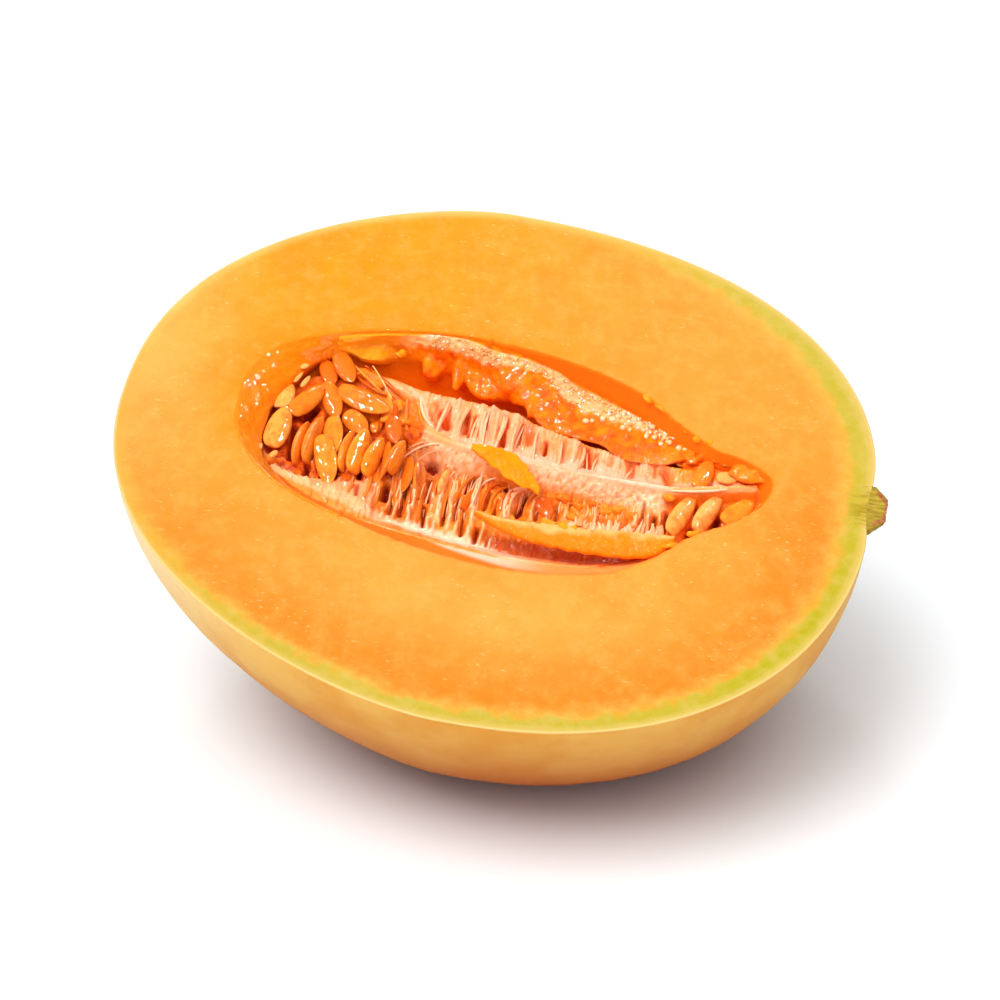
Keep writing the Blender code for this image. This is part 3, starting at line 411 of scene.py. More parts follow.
# Torn bits: along, across, depth, half sizes, and the turn in the plane of the face
TORN_BITS = (
    (31.0, 20.6, 0.7, 1.7, 0.7, 0.5, -28), (34.8, 18.9, 1.0, 2.0, 0.9, 0.6, -30),
    (37.4, 17.1, 1.2, 1.2, 0.8, 0.6, -50), (44.0, 12.2, 1.0, 1.5, 0.8, 0.7, 20),
    (46.4, 11.2, 0.9, 1.3, 0.9, 0.6, -20), (50.2, 9.2, 0.9, 1.4, 0.7, 0.5, -10),
    (41.0, 14.6, 1.4, 1.6, 0.7, 0.6, -40), (-27.2, 24.6, 5.0, 1.5, 0.9, 0.8, 10),
    (46.8, -14.4, 0.8, 1.5, 0.6, 0.5, 30), (20.2, -17.2, 2.5, 2.8, 0.9, 0.6, 4),
    (15.6, -16.9, 2.9, 1.8, 0.6, 0.5, -4), (42.4, -18.6, 0.9, 1.8, 0.7, 0.5, 25),
)

# The stem: its middle across, where it leaves the fruit and where it ends, its radius by the
# place along, and how far its ribs stand out
STEM_MIDDLE = 0.6
STEM_LEAVES = 85.3
STEM_END = 87.7
STEM_PROFILE = ((81.0, 84.3, 85.4, 86.4, STEM_END), (5.2, 6.0, 5.0, 3.8, 2.9))
STEM_RIB = 0.3

# The film on seeds and gel, which shines most
GLASSY = {"Coat_Roughness": 0.04, "Coat_IOR": 1.55}

# The floor's corners in metres
FLOOR_CORNERS = [(-4, -3, 0), (4, -3, 0), (4, 5, 0), (-4, 5, 0)]

# Lights: name, where it comes from (none: the key light's own setting), width in degrees, the
# setting for its strength, its share of that, and whether matt and shiny surfaces show it
LIGHTS = (
    ("top", (-0.1, -0.25, 1.0), 74, "top", 1, True, False),
    ("key", None, 34, "key", 1, True, False),
    ("fill", (0.15, -0.8, 0.7), 60, "fill", 1, True, False),
    ("sparkle", (-0.2, 0.42, 1.0), 7, "sparkle", 1, True, True),
    ("glint_left", (-1.0, -0.1, 0.8), 6, "glint", 1, False, True),
    ("glint_far", (0.1, 0.9, 0.8), 6, "glint", 1, False, True),
    ("glint_right", (0.9, 0.2, 1.0), 6, "glint", 1, False, True),
    ("glint_near", (-0.5, -1.0, 0.6), 6, "glint", 1, False, True),
    ("glint_high", (-0.34, -0.5, 1.0), 9, "glint", 1.2, False, True),
)

# The camera: its eye in the fruit's axes, its two angles, its lens and sensor in mm, and the
# nearest distance it sees, in metres
EYE = (61.7, -341.2, 434.9)
LOOK_DOWN = math.radians(28.0)
LOOK_ROUND = math.radians(10.18)
LENS = 90.08
SENSOR = 36
CLIP_START = 0.01


def paint(red, green, blue):
    """A screen colour, each part from 0 to 255, as linear light."""
    c = np.array((red, green, blue)) / 255
    return np.where(c > 0.04045, ((c + 0.055) / 1.055) ** 2.4, c / 12.92)


# ---------------------------------------------------------------- curves and noise

def smooth(x, knots, values):
    """A curve through the knots with no overshoot: a cubic between each pair, whose slope at a
    knot is the harmonic mean of the slopes on its two sides, or nought where they differ in
    sign."""
    k = np.asarray(knots, float)
    y = np.asarray(values, float)
    step = np.diff(k)
    rise = np.diff(y) / step
    same = rise[:-1] * rise[1:] > 0
    mean = np.where(same, 2 * rise[:-1] * rise[1:] / np.where(same, rise[:-1] + rise[1:], 1), 0)
    slope = np.concatenate([rise[:1], mean, rise[-1:]])
    i = np.clip(np.searchsorted(k, x) - 1, 0, len(k) - 2)
    s = np.clip((x - k[i]) / step[i], 0, 1)
    return (y[i] * (1 + 2 * s) * (1 - s) ** 2 + y[i + 1] * s * s * (3 - 2 * s)
            + slope[i] * step[i] * s * (1 - s) ** 2 - slope[i + 1] * step[i] * s * s * (1 - s))


def ease(x, start, end):
    """0 before start, 1 after end, and a soft step between them."""
    s = np.clip((x - start) / (end - start), 0, 1)
    return s * s * (3 - 2 * s)


def bump(x, middle, half):
    """A bell curve, 1 at the middle and about a third one half-width away."""
    return np.exp(-((x - middle) / half) ** 2)


def waves(points, size, seed, count=14):
    """Smooth uneven noise from about -1 to 1: plane waves in seeded directions, about size
    long."""
    rng = np.random.default_rng(seed)
    turn = rng.normal(size=(count, 3))
    turn /= np.linalg.norm(turn, axis=1)[:, None]
    turn *= (2 * math.pi / (size * rng.uniform(0.7, 1.5, count)))[:, None]
    return np.sin(points @ turn.T + rng.uniform(0, 7, count)).sum(-1) / math.sqrt(count) * 0.8


def stripes(x, step, seed):
    """Uneven ridges across x from about -1 to 1: four sine waves, each about a step long."""
    rng = np.random.default_rng(seed)
    lengths = step * rng.uniform(0.72, 1.5, 4)
    phases = rng.uniform(0, 7, 4)
    return np.sin(2 * math.pi * np.asarray(x)[..., None] / lengths + phases).mean(-1) * 1.5


def strokes(x, y, rows):
    """How close each place lies to some strokes of a brush: each stroke's strength on its middle
    line, falling as a bell curve whose half-width is the stroke's; the strongest one counts."""
    best = np.zeros(np.shape(x))
    for x0, y0, x1, y1, half, strength in rows:
        share = ((x - x0) * (x1 - x0) + (y - y0) * (y1 - y0)) / ((x1 - x0) ** 2 + (y1 - y0) ** 2)
        share = np.clip(share, 0, 1)
        gap = np.hypot(x - x0 - share * (x1 - x0), y - y0 - share * (y1 - y0))
        best = np.maximum(best, strength * np.exp(-(gap / half) ** 2))
    return best


def toward(colour, target, amount):
    """Colours moved by a share towards another colour."""
    return colour + (np.asarray(target) - colour) * np.clip(amount, 0, 1)[..., None]


def layered(colour, *steps):
    """Colours moved in turn towards each step's colour by its share. A tuple is a screen
    colour."""
    for target, share in steps:
        colour = toward(colour, paint(*target) if isinstance(target, tuple) else target, share)
    return colour


def seen(u, v, depth):
    """Where the camera sees a point on the cut face: the line from the eye crosses the face
    there."""
    k = depth / EYE[2]
    return (u + EYE[0] * k) / (1 + k), (v + EYE[1] * k) / (1 + k)


def unseen(u, v, depth):
    """The point at a depth that the camera sees at a place of the cut face."""
    k = depth / EYE[2]
    return u + (u - EYE[0]) * k, v + (v - EYE[1]) * k


def at_depth(x, y, depth):
    """The points at a depth that the camera sees at places of the cut face, as (u, v, w)."""
    return np.stack([*unseen(x, y, depth), -depth], -1)


# ---------------------------------------------------------------- the fruit's form

def side_width(t, widest, size):
    """How far one side stands off the axis at t, a share of the half-length from -1 to 1."""
    behind = t < widest
    s = np.where(behind, (t - widest) / (1 + widest), (t - widest) / (1 - widest))
    power = np.where(behind, BLOSSOM_POWER, STEM_POWER)
    return size * np.clip(1 - np.abs(s) ** power, 0, 1) ** (1 / FULLNESS)


def rind_depth(u, v):
    """Depth of the rind below the cut face: each slice across the fruit is half an ellipse."""
    t = np.clip(u / HALF_LENGTH, -1, 1)
    far = side_width(t, FAR_WIDEST, FAR_HALF_WIDTH)
    near = side_width(t, NEAR_WIDEST, NEAR_HALF_WIDTH)
    across = (v - (far - near) / 2) / np.maximum((far + near) / 2, 1e-9)
    return side_width(t, DEEPEST, DEPTH) * np.sqrt(np.clip(1 - across ** 2, 0, 1))


def outline(angle):
    """The cut face's outline, by an angle that runs once round it."""
    t = np.cos(angle)
    far = side_width(t, FAR_WIDEST, FAR_HALF_WIDTH)
    near = side_width(t, NEAR_WIDEST, NEAR_HALF_WIDTH)
    return np.stack([HALF_LENGTH * t, np.where(np.sin(angle) >= 0, far, -near)], -1)


def rim_reach(angle):
    """The rim's distance from its middle at an angle, as a share of the rim's half sizes."""
    p = (np.array(RIM_POINTS, float) - RIM_CENTRE) / RIM_HALF
    turn = np.arctan2(p[:, 1], p[:, 0]) % (2 * math.pi)
    order = np.argsort(turn)
    turn = turn[order]
    reach = np.hypot(p[:, 0], p[:, 1])[order]
    turn = np.concatenate([turn - 2 * math.pi, turn, turn + 2 * math.pi])
    return smooth(np.asarray(angle) % (2 * math.pi), turn, np.tile(reach, 3))


def in_cavity(angle, reach):
    """The point at a share of the way from the cavity's middle to its rim."""
    r = rim_reach(angle) * reach
    return np.stack([RIM_CENTRE[0] + RIM_HALF[0] * r * np.cos(angle),
                     RIM_CENTRE[1] + RIM_HALF[1] * r * np.sin(angle)], -1)


def cavity_place(u, v):
    """The angle and the share of the rim's reach of a point of the cut face."""
    p = (u - RIM_CENTRE[0]) / RIM_HALF[0]
    q = (v - RIM_CENTRE[1]) / RIM_HALF[1]
    angle = np.arctan2(q, p)
    return angle, np.hypot(p, q) / rim_reach(angle)


def wall_depth(angle, reach):
    """Depth of the cavity's wall: steep on the far side, sloping on the near side and at the
    ends."""
    far = np.maximum(np.sin(angle), 0) ** 2
    near = np.maximum(-np.sin(angle), 0) ** 2
    ends = np.cos(angle) ** 2
    reach = np.clip(reach, 0, 1)
    shares = ((far, FAR_WALL), (near, NEAR_WALL), (ends, END_WALL))
    return sum(share * smooth(reach, *wall) for share, wall in shares)


def cavity_depth(u, v):
    """Depth of the cavity's wall under a point of the cut face."""
    return wall_depth(*cavity_place(u, v))


HALF_TURN = np.linspace(0, math.pi, 361)


def level_across(u, far, reach):
    """Where a level line of the cavity, at a share of the rim's reach, crosses station u."""
    angle = HALF_TURN * (1 if far else -1)
    line = in_cavity(angle, reach * np.ones_like(angle))
    return np.interp(u, line[::-1, 0], line[::-1, 1])


def bed_depth(u, v):
    """Depth of the pulp's upper side. Across each station it runs from the near trough up the
    steep near side of the rib, over the rib, along a shallow dip to the back edge, and down
    into the hollow. At the blossom end it gives way to a level bed for the heap of seeds."""
    rib, edge = smooth(u, *RIB_LINE), smooth(u, *EDGE_LINE)
    rib_depth, edge_depth = smooth(u, *RIB_DEPTH), smooth(u, *EDGE_DEPTH)
    between = np.clip((v - rib) / (edge - rib), 0, 1)
    depth = rib_depth + (edge_depth - rib_depth) * between + 6 * between * (1 - between)
    depth += (smooth(u, *HOLLOW_DEPTH) - depth) * ease(v, edge, edge + HOLLOW_STEP)
    depth += (smooth(u, *TROUGH_DEPTH) - depth) * ease(rib - v, 0, RIB_FACE)
    behind = ease(v, edge - 1, edge + HOLLOW_STEP) * ease(u, *HOLLOW_START)
    return depth + (HEAP_DEPTH - depth) * ease(-u, -HEAP_END[1], -HEAP_END[0]) * (1 - behind)


# ---------------------------------------------------------------- where the fruit lies

AXES = np.array(Euler((FACE_TILT, STEM_DIP, 0), "XYZ").to_matrix())


def lying_place():
    """Where the fruit's origin lies, in metres: the CAD body's stations round the rind, turned by
    the fruit's axes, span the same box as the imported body."""
    turn = np.linspace(0, 2 * math.pi, CAD_AROUND, endpoint=False)
    edge = outline(turn)
    rows = [np.column_stack([edge, 0 * turn])]
    for climb in np.radians(CAD_CLIMBS):
        low = edge * math.sin(climb)
        rows.append(np.column_stack([low, -rind_depth(low[:, 0], low[:, 1])]))
    turned = np.concatenate(rows) @ AXES.T * MM
    low, high = (np.array(corner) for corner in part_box("melon_half"))
    middle = (low + high) / 2 - (turned.min(0) + turned.max(0)) / 2
    return np.array((middle[0], middle[1], high[2] - turned[:, 2].max()))


PLACE = lying_place()


# ---------------------------------------------------------------- meshes

def skin(rings, start=None, end=None):
    """A closed surface over rings[copy, ring, point, xyz]: quads between neighbouring rings, and a
    fan at each end to the start and end points, or else to the middle of the end ring. It is
    turned so that its volume is positive, which points every face outwards."""
    rings = np.asarray(rings, float)
    rings = rings.reshape(-1, *rings.shape[-3:])
    copies, count, sides = rings.shape[:3]
    start = rings[:, 0].mean(1) if start is None else np.broadcast_to(start, (copies, 3))
    end = rings[:, -1].mean(1) if end is None else np.broadcast_to(end, (copies, 3))
    points = np.concatenate([start[:, None], rings.reshape(copies, -1, 3), end[:, None]], 1)
    j = np.arange(sides)
    k = (j + 1) % sides
    low = 1 + sides * np.arange(count - 1)[:, None]
    last = count * sides + 1
    quads = np.stack([low + j, low + sides + j, low + sides + k, low + k], -1).reshape(-1, 4)
    fans = np.concatenate([np.stack([0 * j, 1 + j, 1 + k], 1),
                           np.stack([0 * j + last, last - sides + k, last - sides + j], 1)])
    triangles = np.concatenate([fans, quads[:, :3], quads[:, (0, 2, 3)]])
    a, b, c = points[0][triangles].transpose(1, 0, 2)
    if np.sum(a * np.cross(b, c)) < 0:
        quads, fans = quads[:, ::-1], fans[:, ::-1]
    shift = np.arange(copies)[:, None, None] * points.shape[1]
    return points.reshape(-1, 3), (quads + shift).reshape(-1, 4), (fans + shift).reshape(-1, 3)


def together(*surfaces):
    """Several surfaces as one."""
    shifts = np.cumsum([0] + [len(s[0]) for s in surfaces[:-1]])
    return (np.concatenate([s[0] for s in surfaces]),
            np.concatenate([s[1] + n for s, n in zip(surfaces, shifts)]),
            np.concatenate([s[2] + n for s, n in zip(surfaces, shifts)]))


def piece(name, surface, material, slot, node=None, flatten=False, **marks):
    """A finished piece in the part's frame, with a number, vector or colour for each point. Where
    it is flattened, what would reach below the ground is eased up to it."""
    points, quads, fans = surface
    place = points @ AXES.T * MM + PLACE
    if flatten:
        place[:, 2] = (place[:, 2] + np.hypot(place[:, 2], GROUND_EASE * MM)) / 2
    mesh = bpy.data.meshes.new(name)
    mesh.vertices.add(len(place))
    mesh.vertices.foreach_set("co", place.ravel())
    mesh.loops.add(quads.size + fans.size)
    mesh.loops.foreach_set("vertex_index", np.concatenate([quads.ravel(), fans.ravel()]))
    starts = np.concatenate([4 * np.arange(len(quads)), quads.size + 3 * np.arange(len(fans))])
    mesh.polygons.add(len(starts))
    mesh.polygons.foreach_set("loop_start", starts)
    mesh.update(calc_edges=True)
    for mark, values in dict(marks, fruit=points).items():
        values = np.asarray(values, float)
        kind, field = ("FLOAT", "value") if values.ndim == 1 else ("FLOAT_VECTOR", "vector")
        if mark in ("tint", "under"):
            kind, field = "FLOAT_COLOR", "color"
            values = np.column_stack([np.clip(values, 0, 1), np.ones(len(values))])
        mesh.attributes.new(mark, kind, "POINT").data.foreach_set(field, values.ravel())
    mesh.validate()
    mesh.shade_smooth()
    mesh.materials.append(material)
    made = bpy.data.objects.new(name, mesh)
    bpy.context.scene.collection.objects.link(made)
    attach(made, "root")
    if node:
        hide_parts(node)
    return made


def tubes(paths, radius, sides=7):
    """Round bars along paths[copy, station, xyz] with a radius at each station: the ring at a
    station lies square to the path."""
    ahead = np.gradient(paths, axis=1)
    ahead /= np.linalg.norm(ahead, axis=2)[..., None] + 1e-9
    side = np.cross(ahead, (0.05, 0.02, 1.0))
    side /= np.linalg.norm(side, axis=2)[..., None] + 1e-9
    up = np.cross(side, ahead)
    turn = np.linspace(0, 2 * math.pi, sides, endpoint=False)[:, None]
    ring = side[:, :, None] * np.cos(turn) + up[:, :, None] * np.sin(turn)
    return skin(paths[:, :, None] + ring * radius[..., None, None])


def sphere(rings, sides):
    """The rings of a unit ball, by an angle down from its pole and an angle round it."""
    climb = np.linspace(0, math.pi, rings + 2)[1:-1, None]
    turn = np.linspace(0, 2 * math.pi, sides, endpoint=False)
    level = np.cos(climb) + 0 * turn
    return np.stack([np.sin(climb) * np.cos(turn), np.sin(climb) * np.sin(turn), level], -1)


def beads(middles, sizes, seed, sides=8):
    """Small uneven balls: rings of a sphere, each ball stretched by seeded shares along u, v and
    w."""
    stretch = np.random.default_rng(seed).uniform(0.75, 1.25, (len(sizes), 3)) * sizes[:, None]
    rings = middles[:, None, None] + sphere(4, sides) * stretch[:, None, None]
    pole = stretch * (0, 0, 1)
    return skin(rings, middles + pole, middles - pole)


def per_copy(surface, values):
    """One value for each copy, spread over the points of that copy."""
    return np.repeat(values, len(surface[0]) // len(values), axis=0)


def ringed(values, first=None, last=None):
    """Values on a grid of rings as values on the points of its skin. Where no value is given for
    an end, it gets the mean of the end ring."""
    first = values[0].mean(0) if first is None else first
    last = values[-1].mean(0) if last is None else last
    return np.concatenate([[first], values.reshape(-1, *values.shape[2:]), [last]])


def one_colour(surface, *screen):
    """The same screen colour for all points."""
    return np.tile(paint(*screen), (len(surface[0]), 1))


def blend(first, second, share):
    """Two colours mixed for each row, by its share of the second."""
    return first * (1 - share) + second * share


# ---------------------------------------------------------------- materials

class Finish:
    """One material's nodes, with short names for the ones used here."""

    def __init__(self, name, **settings):
        self.made = bpy.data.materials.new(name)
        self.made.use_nodes = True
        self.tree = self.made.node_tree
        self.shader = self.tree.nodes["Principled BSDF"]
        for socket, value in settings.items():
            self.shader.inputs[socket.replace("_", " ")].default_value = value
        coordinate = self.node("ShaderNodeTexCoord").outputs["Object"]
        mapping = self.node("ShaderNodeMapping", Vector=coordinate, Scale=(1 / MM,) * 3)
        self.place = mapping.outputs["Vector"]

    def feed(self, socket, value):
        """A number, a vector, a colour or another node's output, put into a socket."""
        if isinstance(value, bpy.types.NodeSocket):
            self.tree.links.new(value, socket)
        else:
            socket.default_value = (*value, 1) if socket.type == "RGBA" else value

    def node(self, kind, settings=None, **inputs):
        """A node, its own settings, and what goes into each socket."""
        made = self.tree.nodes.new(kind)
        for key, value in (settings or {}).items():
            setattr(made, key, value)
        for key, value in inputs.items():
            self.feed(made.inputs[key.replace("_", " ")], value)
        return made

    def mark(self, name, output="Fac"):
        """The piece's own attribute."""
        return self.node("ShaderNodeAttribute", {"attribute_name": name}).outputs[output]

    def stretched(self, vector, scale, turn=0.0):
        """A place scaled along each axis and turned about the third one."""
        made = self.node("ShaderNodeMapping", Vector=vector, Scale=scale, Rotation=(0.0, 0.0, turn))
        return made.outputs["Vector"]

    def noise(self, size, detail=3.0, place=None, rough=0.55):
        """Cloudy noise whose patches are about size mm across."""
        made = self.node("ShaderNodeTexNoise", Vector=place or self.place, Scale=1 / size,
                         Detail=detail, Roughness=rough)
        return made.outputs["Fac"]

    def span(self, value, low, high, to_low=0.0, to_high=1.0):
        """The value carried softly from low..high to to_low..to_high, and held beyond."""
        made = self.node("ShaderNodeMapRange", {"interpolation_type": "SMOOTHSTEP"}, Value=value,
                         From_Min=low, From_Max=high, To_Min=to_low, To_Max=to_high)
        return made.outputs["Result"]

    def clouds(self, size, detail, low, high, to_low=0.0, to_high=1.0, **more):
        """Cloudy noise, carried softly from low..high to to_low..to_high."""
        return self.span(self.noise(size, detail, **more), low, high, to_low, to_high)

    def sum(self, operation, a, b):
        """Two numbers put together."""
        made = self.node("ShaderNodeMath", {"operation": operation})
        for socket, value in zip(made.inputs, (a, b)):
            self.feed(socket, value)
        return made.outputs[0]

    def mix(self, share, a, b, way="MIX"):
        """Two colours mixed by a share."""
        made = self.node("ShaderNodeMix", {"data_type": "RGBA", "blend_type": way})
        for socket, value in zip((made.inputs[0], made.inputs[6], made.inputs[7]), (share, a, b)):
            self.feed(socket, value)
        return made.outputs[2]

    def done(self, colour, roughness=None, height=None, depth=0.1):
        """Joins the colour, the roughness and a height in shares of depth mm to the shader."""
        self.tree.links.new(colour, self.shader.inputs["Base Color"])
        if roughness is not None:
            self.tree.links.new(roughness, self.shader.inputs["Roughness"])
        if height is not None:
            relief = self.node("ShaderNodeBump", Height=height, Distance=depth * MM, Strength=1.0)
            self.tree.links.new(relief.outputs["Normal"], self.shader.inputs["Normal"])
            self.tree.links.new(relief.outputs["Normal"], self.shader.inputs["Coat Normal"])
        return self.made


def wet(name, glow=0.2, coat=0.3, spread=(2.4, 0.9, 0.35), **settings):
    """A finish for wet fruit: light goes a little way in, and a thin film of juice lies on it."""
    values = {"Subsurface_Weight": glow, "Subsurface_Radius": [s * MM for s in spread],
              "Subsurface_Scale": 1.0, "Coat_Weight": coat, "Coat_Roughness": 0.1, "Coat_IOR": 1.25,
              "Roughness": 0.45, "Specular_IOR_Level": 0.2}
    values.update(settings)
    return Finish(name, **values)


def melon_finish(look):
    """Rind and flesh: the skin outside, then by distance in from the outline a cream line, the
    green or peach layer and the orange flesh, painted darker down the cavity's wall as shade. The
    skin is painted darker low down as shade, and paler high up and towards the blossom end as
    light."""
    f = wet("rind_and_flesh", glow=0.15, coat=0.04, Specular_IOR_Level=0.15)
    layer, skin_share, well, reach = f.mark("layer"), f.mark("skin"), f.mark("well"), f.mark("band")
    under, own = f.mark("under", "Color"), f.mark("fruit", "Vector")
    flesh = f.mix(f.clouds(13, 5, 0.38, 0.7, 0.0, 0.35), f.mark("tint", "Color"), look.deep_flesh)
    flesh = f.mix(f.clouds(4.5, 6, 0.36, 0.78, 0.0, 0.4, rough=0.72), flesh, look.pale_flesh)
    # Pale flecks of the flesh, partly its own flecks and partly painted glints of its wet film
    speck = f.noise(0.8, 2, place=f.stretched(f.place, (0.6, 1.4, 1.4), 0.5), rough=0.4)
    some = f.clouds(17, 3, 0.42, 0.62, 0.06, 0.34)
    flesh = f.mix(f.sum("MULTIPLY", f.span(speck, 0.64, 0.76), some), flesh, paint(255, 220, 160))
    # Painted shade: the cavity's wall darker the deeper it goes
    down = f.mix(f.span(well, 4.0, 9.0), paint(255, 132, 24), look.shaded_deep_wall)
    flesh = f.mix(f.span(well, -0.3, 1.0, 0.0, 0.95), flesh, down)
    flesh = f.mix(f.mark("band_share"), flesh, under)
    ragged = f.sum("ADD", layer, f.clouds(4.0, 5, 0.25, 0.75, -1.3, 1.3, rough=0.6))
    veins = f.mix(f.clouds(3.2, 5, 0.35, 0.75, 0.0, 0.45, rough=0.6), under, look.pale_green)
    near, far = (f.sum("MULTIPLY", reach, share) for share in (0.45, 1.3))
    inside = f.mix(f.span(ragged, near, far, 1.0, 0.0), flesh, veins)
    flesh = f.mix(f.mark("green"), flesh, inside)
    flesh = f.mix(f.span(layer, 0.2, 1.0, 0.75, 0.0), flesh, look.cream_line)
    fan = f.clouds(0.9, 3, 0.4, 0.6, place=f.stretched(own, (0.16, 1.0, 0.3)))
    flesh = f.mix(f.mark("fan"), flesh, f.mix(fan, look.stem_green, paint(190, 164, 60)))
    outside = f.mix(f.clouds(22, 3, 0.35, 0.65), look.skin, look.warm_skin)
    # Painted light: the skin paler high up and towards the blossom end
    outside = f.mix(f.mark("pale"), outside, paint(240, 216, 168))
    # Painted shade: the skin darker low down
    outside = f.mix(f.mark("shade"), outside, look.shaded_low_skin)
    outside = f.mix(f.clouds(2.4, 5, 0.5, 0.75, 0.0, 0.2, rough=0.7), outside, look.skin_freckle)
    outside = f.mix(f.mark("scar"), outside, paint(150, 96, 52))
    bumps = f.sum("MULTIPLY", f.noise(0.9, 5), f.span(skin_share, 0, 1, 1.0, 0.25))
    specks = f.sum("MULTIPLY", speck, f.span(skin_share, 0, 1, 0.6, 0.0))
    return f.done(f.mix(skin_share, flesh, outside), f.span(skin_share, 0, 1, 0.45, 0.6),
                  f.sum("ADD", bumps, specks), 0.14)


def pulp_finish(name, glow, coat, streak=0.3, **settings):
    """Seed pulp: its own tint, darker in fine streaks and paler on specks, wet all over."""
    f = wet(name, glow=glow, coat=coat, **settings)
    tint = f.mark("tint", "Color")
    dark = f.mix(1.0, tint, (1.0, 0.62, 0.4), "MULTIPLY")
    colour = f.mix(f.clouds(1.1, 4, 0.4, 0.7, 0.0, streak), tint, dark)
    colour = f.mix(f.clouds(0.7, 2, 0.62, 0.7, 0.0, 0.3), colour, paint(255, 214, 176))
    return f.done(colour, None, f.noise(1.1, 1), 0.16)


def gel_finish(name):
    """Wet orange gel with paler clouds."""
    f = wet(name, glow=0.25, coat=1.0, spread=(2.4, 0.9, 0.2), Roughness=0.5, **GLASSY)
    clouds = f.clouds(2.6, 4, 0.45, 0.7, 0.0, 0.3)
    colour = f.mix(clouds, f.mark("tint", "Color"), paint(254, 146, 20))
    return f.done(colour, None, f.noise(1.5, 1), 0.32)


# ---------------------------------------------------------------- the melon's body

def edge_distance(points):
    """Each point's distance from the face's outline, in the plane of the face."""
    line = outline(np.linspace(0, 2 * math.pi, 1440, endpoint=False))
    return np.array([np.sqrt(((row[:, None] - line) ** 2).sum(-1).min(1)) for row in points])


def melon_surface():
    """The closed body over a grid of angle and row: up the rind by an angle of climb, over a
    rounded cut edge, straight across the face to the rim, and down the cavity's wall by the reach;
    with each point's distance in from the outline, its depth down the wall and its share of
    skin."""
    turn = np.linspace(0, 2 * math.pi, AROUND, endpoint=False)
    edge = outline(turn)
    along = np.roll(edge, -1, 0) - np.roll(edge, 1, 0)
    inward = np.stack([-along[:, 1], along[:, 0]], 1) / np.hypot(*along.T)[:, None]
    rows, layer, skin_share = [], [], []

    def add(place, height, gap, share):
        rows.append(np.column_stack([place, height + 0 * turn]))
        layer.append(gap + 0 * turn)
        skin_share.append(share + 0 * turn)

    for climb in np.radians(np.linspace(*RIND_CLIMBS)):
        low = edge * math.sin(climb)
        depth = rind_depth(low[:, 0], low[:, 1])
        add(low, -depth, -depth, 1)
    for bend in np.radians(CUT_BENDS):
        inset = CUT_ROUND * (1 - math.cos(bend))
        height = -CUT_ROUND * (1 - math.sin(bend))
        add(edge + inward * inset, height, inset, 1 - ease(bend, 0.3, 1.2))
    start = edge + inward * CUT_ROUND
    nick = 1 + 0.004 * stripes(turn * 60, 4.0, 5) + 0.003 * stripes(turn * 60, 1.3, 6)
    rim = in_cavity(turn, 1.022 * nick)
    stay = 1 - (1 - np.linspace(*FACE_STEPS)) ** 1.25
    face = start + (rim - start) * stay[:, None, None]
    for row, gap in zip(face, edge_distance(face)):
        add(row, 0, gap, 0)
    for reach in (*RIM_REACHES, *np.linspace(*UPPER_WALL), *np.linspace(*LOWER_WALL)):
        add(in_cavity(turn, reach * nick), -wall_depth(turn, reach), IN_CAVITY, 0)
    rows, layer, skin_share = np.array(rows), np.array(layer), np.array(skin_share)
    outside = skin_share > 0.5
    angle, reach = cavity_place(rows[..., 0], rows[..., 1])
    size = np.hypot(RIM_HALF[0] * np.cos(angle), RIM_HALF[1] * np.sin(angle))
    off = (reach / nick - 1) * rim_reach(angle) * size
    inside = ease(layer, 0.5, 2.5)
    rounding = 0.5 * (np.sqrt(off ** 2 + 0.35) - off) - 0.5 * (np.abs(off) - off)
    rows[..., 2] -= rounding * inside * (layer > 0)
    well = np.where(outside, -IN_CAVITY, np.where(layer == IN_CAVITY, -rows[..., 2], -off))
    lumps = 0.05 * waves(rows, 11, 21) + 0.02 * waves(rows, 3, 22)
    rows[..., 2] += lumps * inside
    out = rows * (0.9, 0.9, 1)
    out /= np.linalg.norm(out, axis=2)[..., None]
    dip = np.maximum(0.22 + 0.12 * waves(rows, 26, 23) + 0.05 * waves(rows, 7, 24), 0.08)
    rows -= out * (dip * outside)[..., None]
    u, v, w = np.moveaxis(rows, -1, 0)
    dent = bump(u, 87, 5.5) * bump(v, STEM_MIDDLE, 8.5) * bump(w, 0, 8.5)
    rows[..., 0] -= 1.7 * dent
    deepest = float(rind_depth(np.zeros(1), np.zeros(1))[0])
    surface = skin(rows, (0, 0, -deepest), (*RIM_CENTRE, -CAVITY_BOTTOM))
    return (surface, ringed(layer, -DEPTH, IN_CAVITY), ringed(well, -IN_CAVITY, CAVITY_BOTTOM),
            ringed(skin_share, 1, 0))


def surface_height(points):
    """How high points of the fruit lie above the ground, in mm."""
    return points @ AXES[2] + PLACE[2] / MM


def wall_shade(x):
    """The pale band's colour along the near wall."""
    pale = toward(paint(255, 184, 128) + 0 * x[..., None], paint(255, 214, 184), ease(x, -28, -8))
    return toward(pale, paint(255, 164, 88), ease(x, 6, 20))


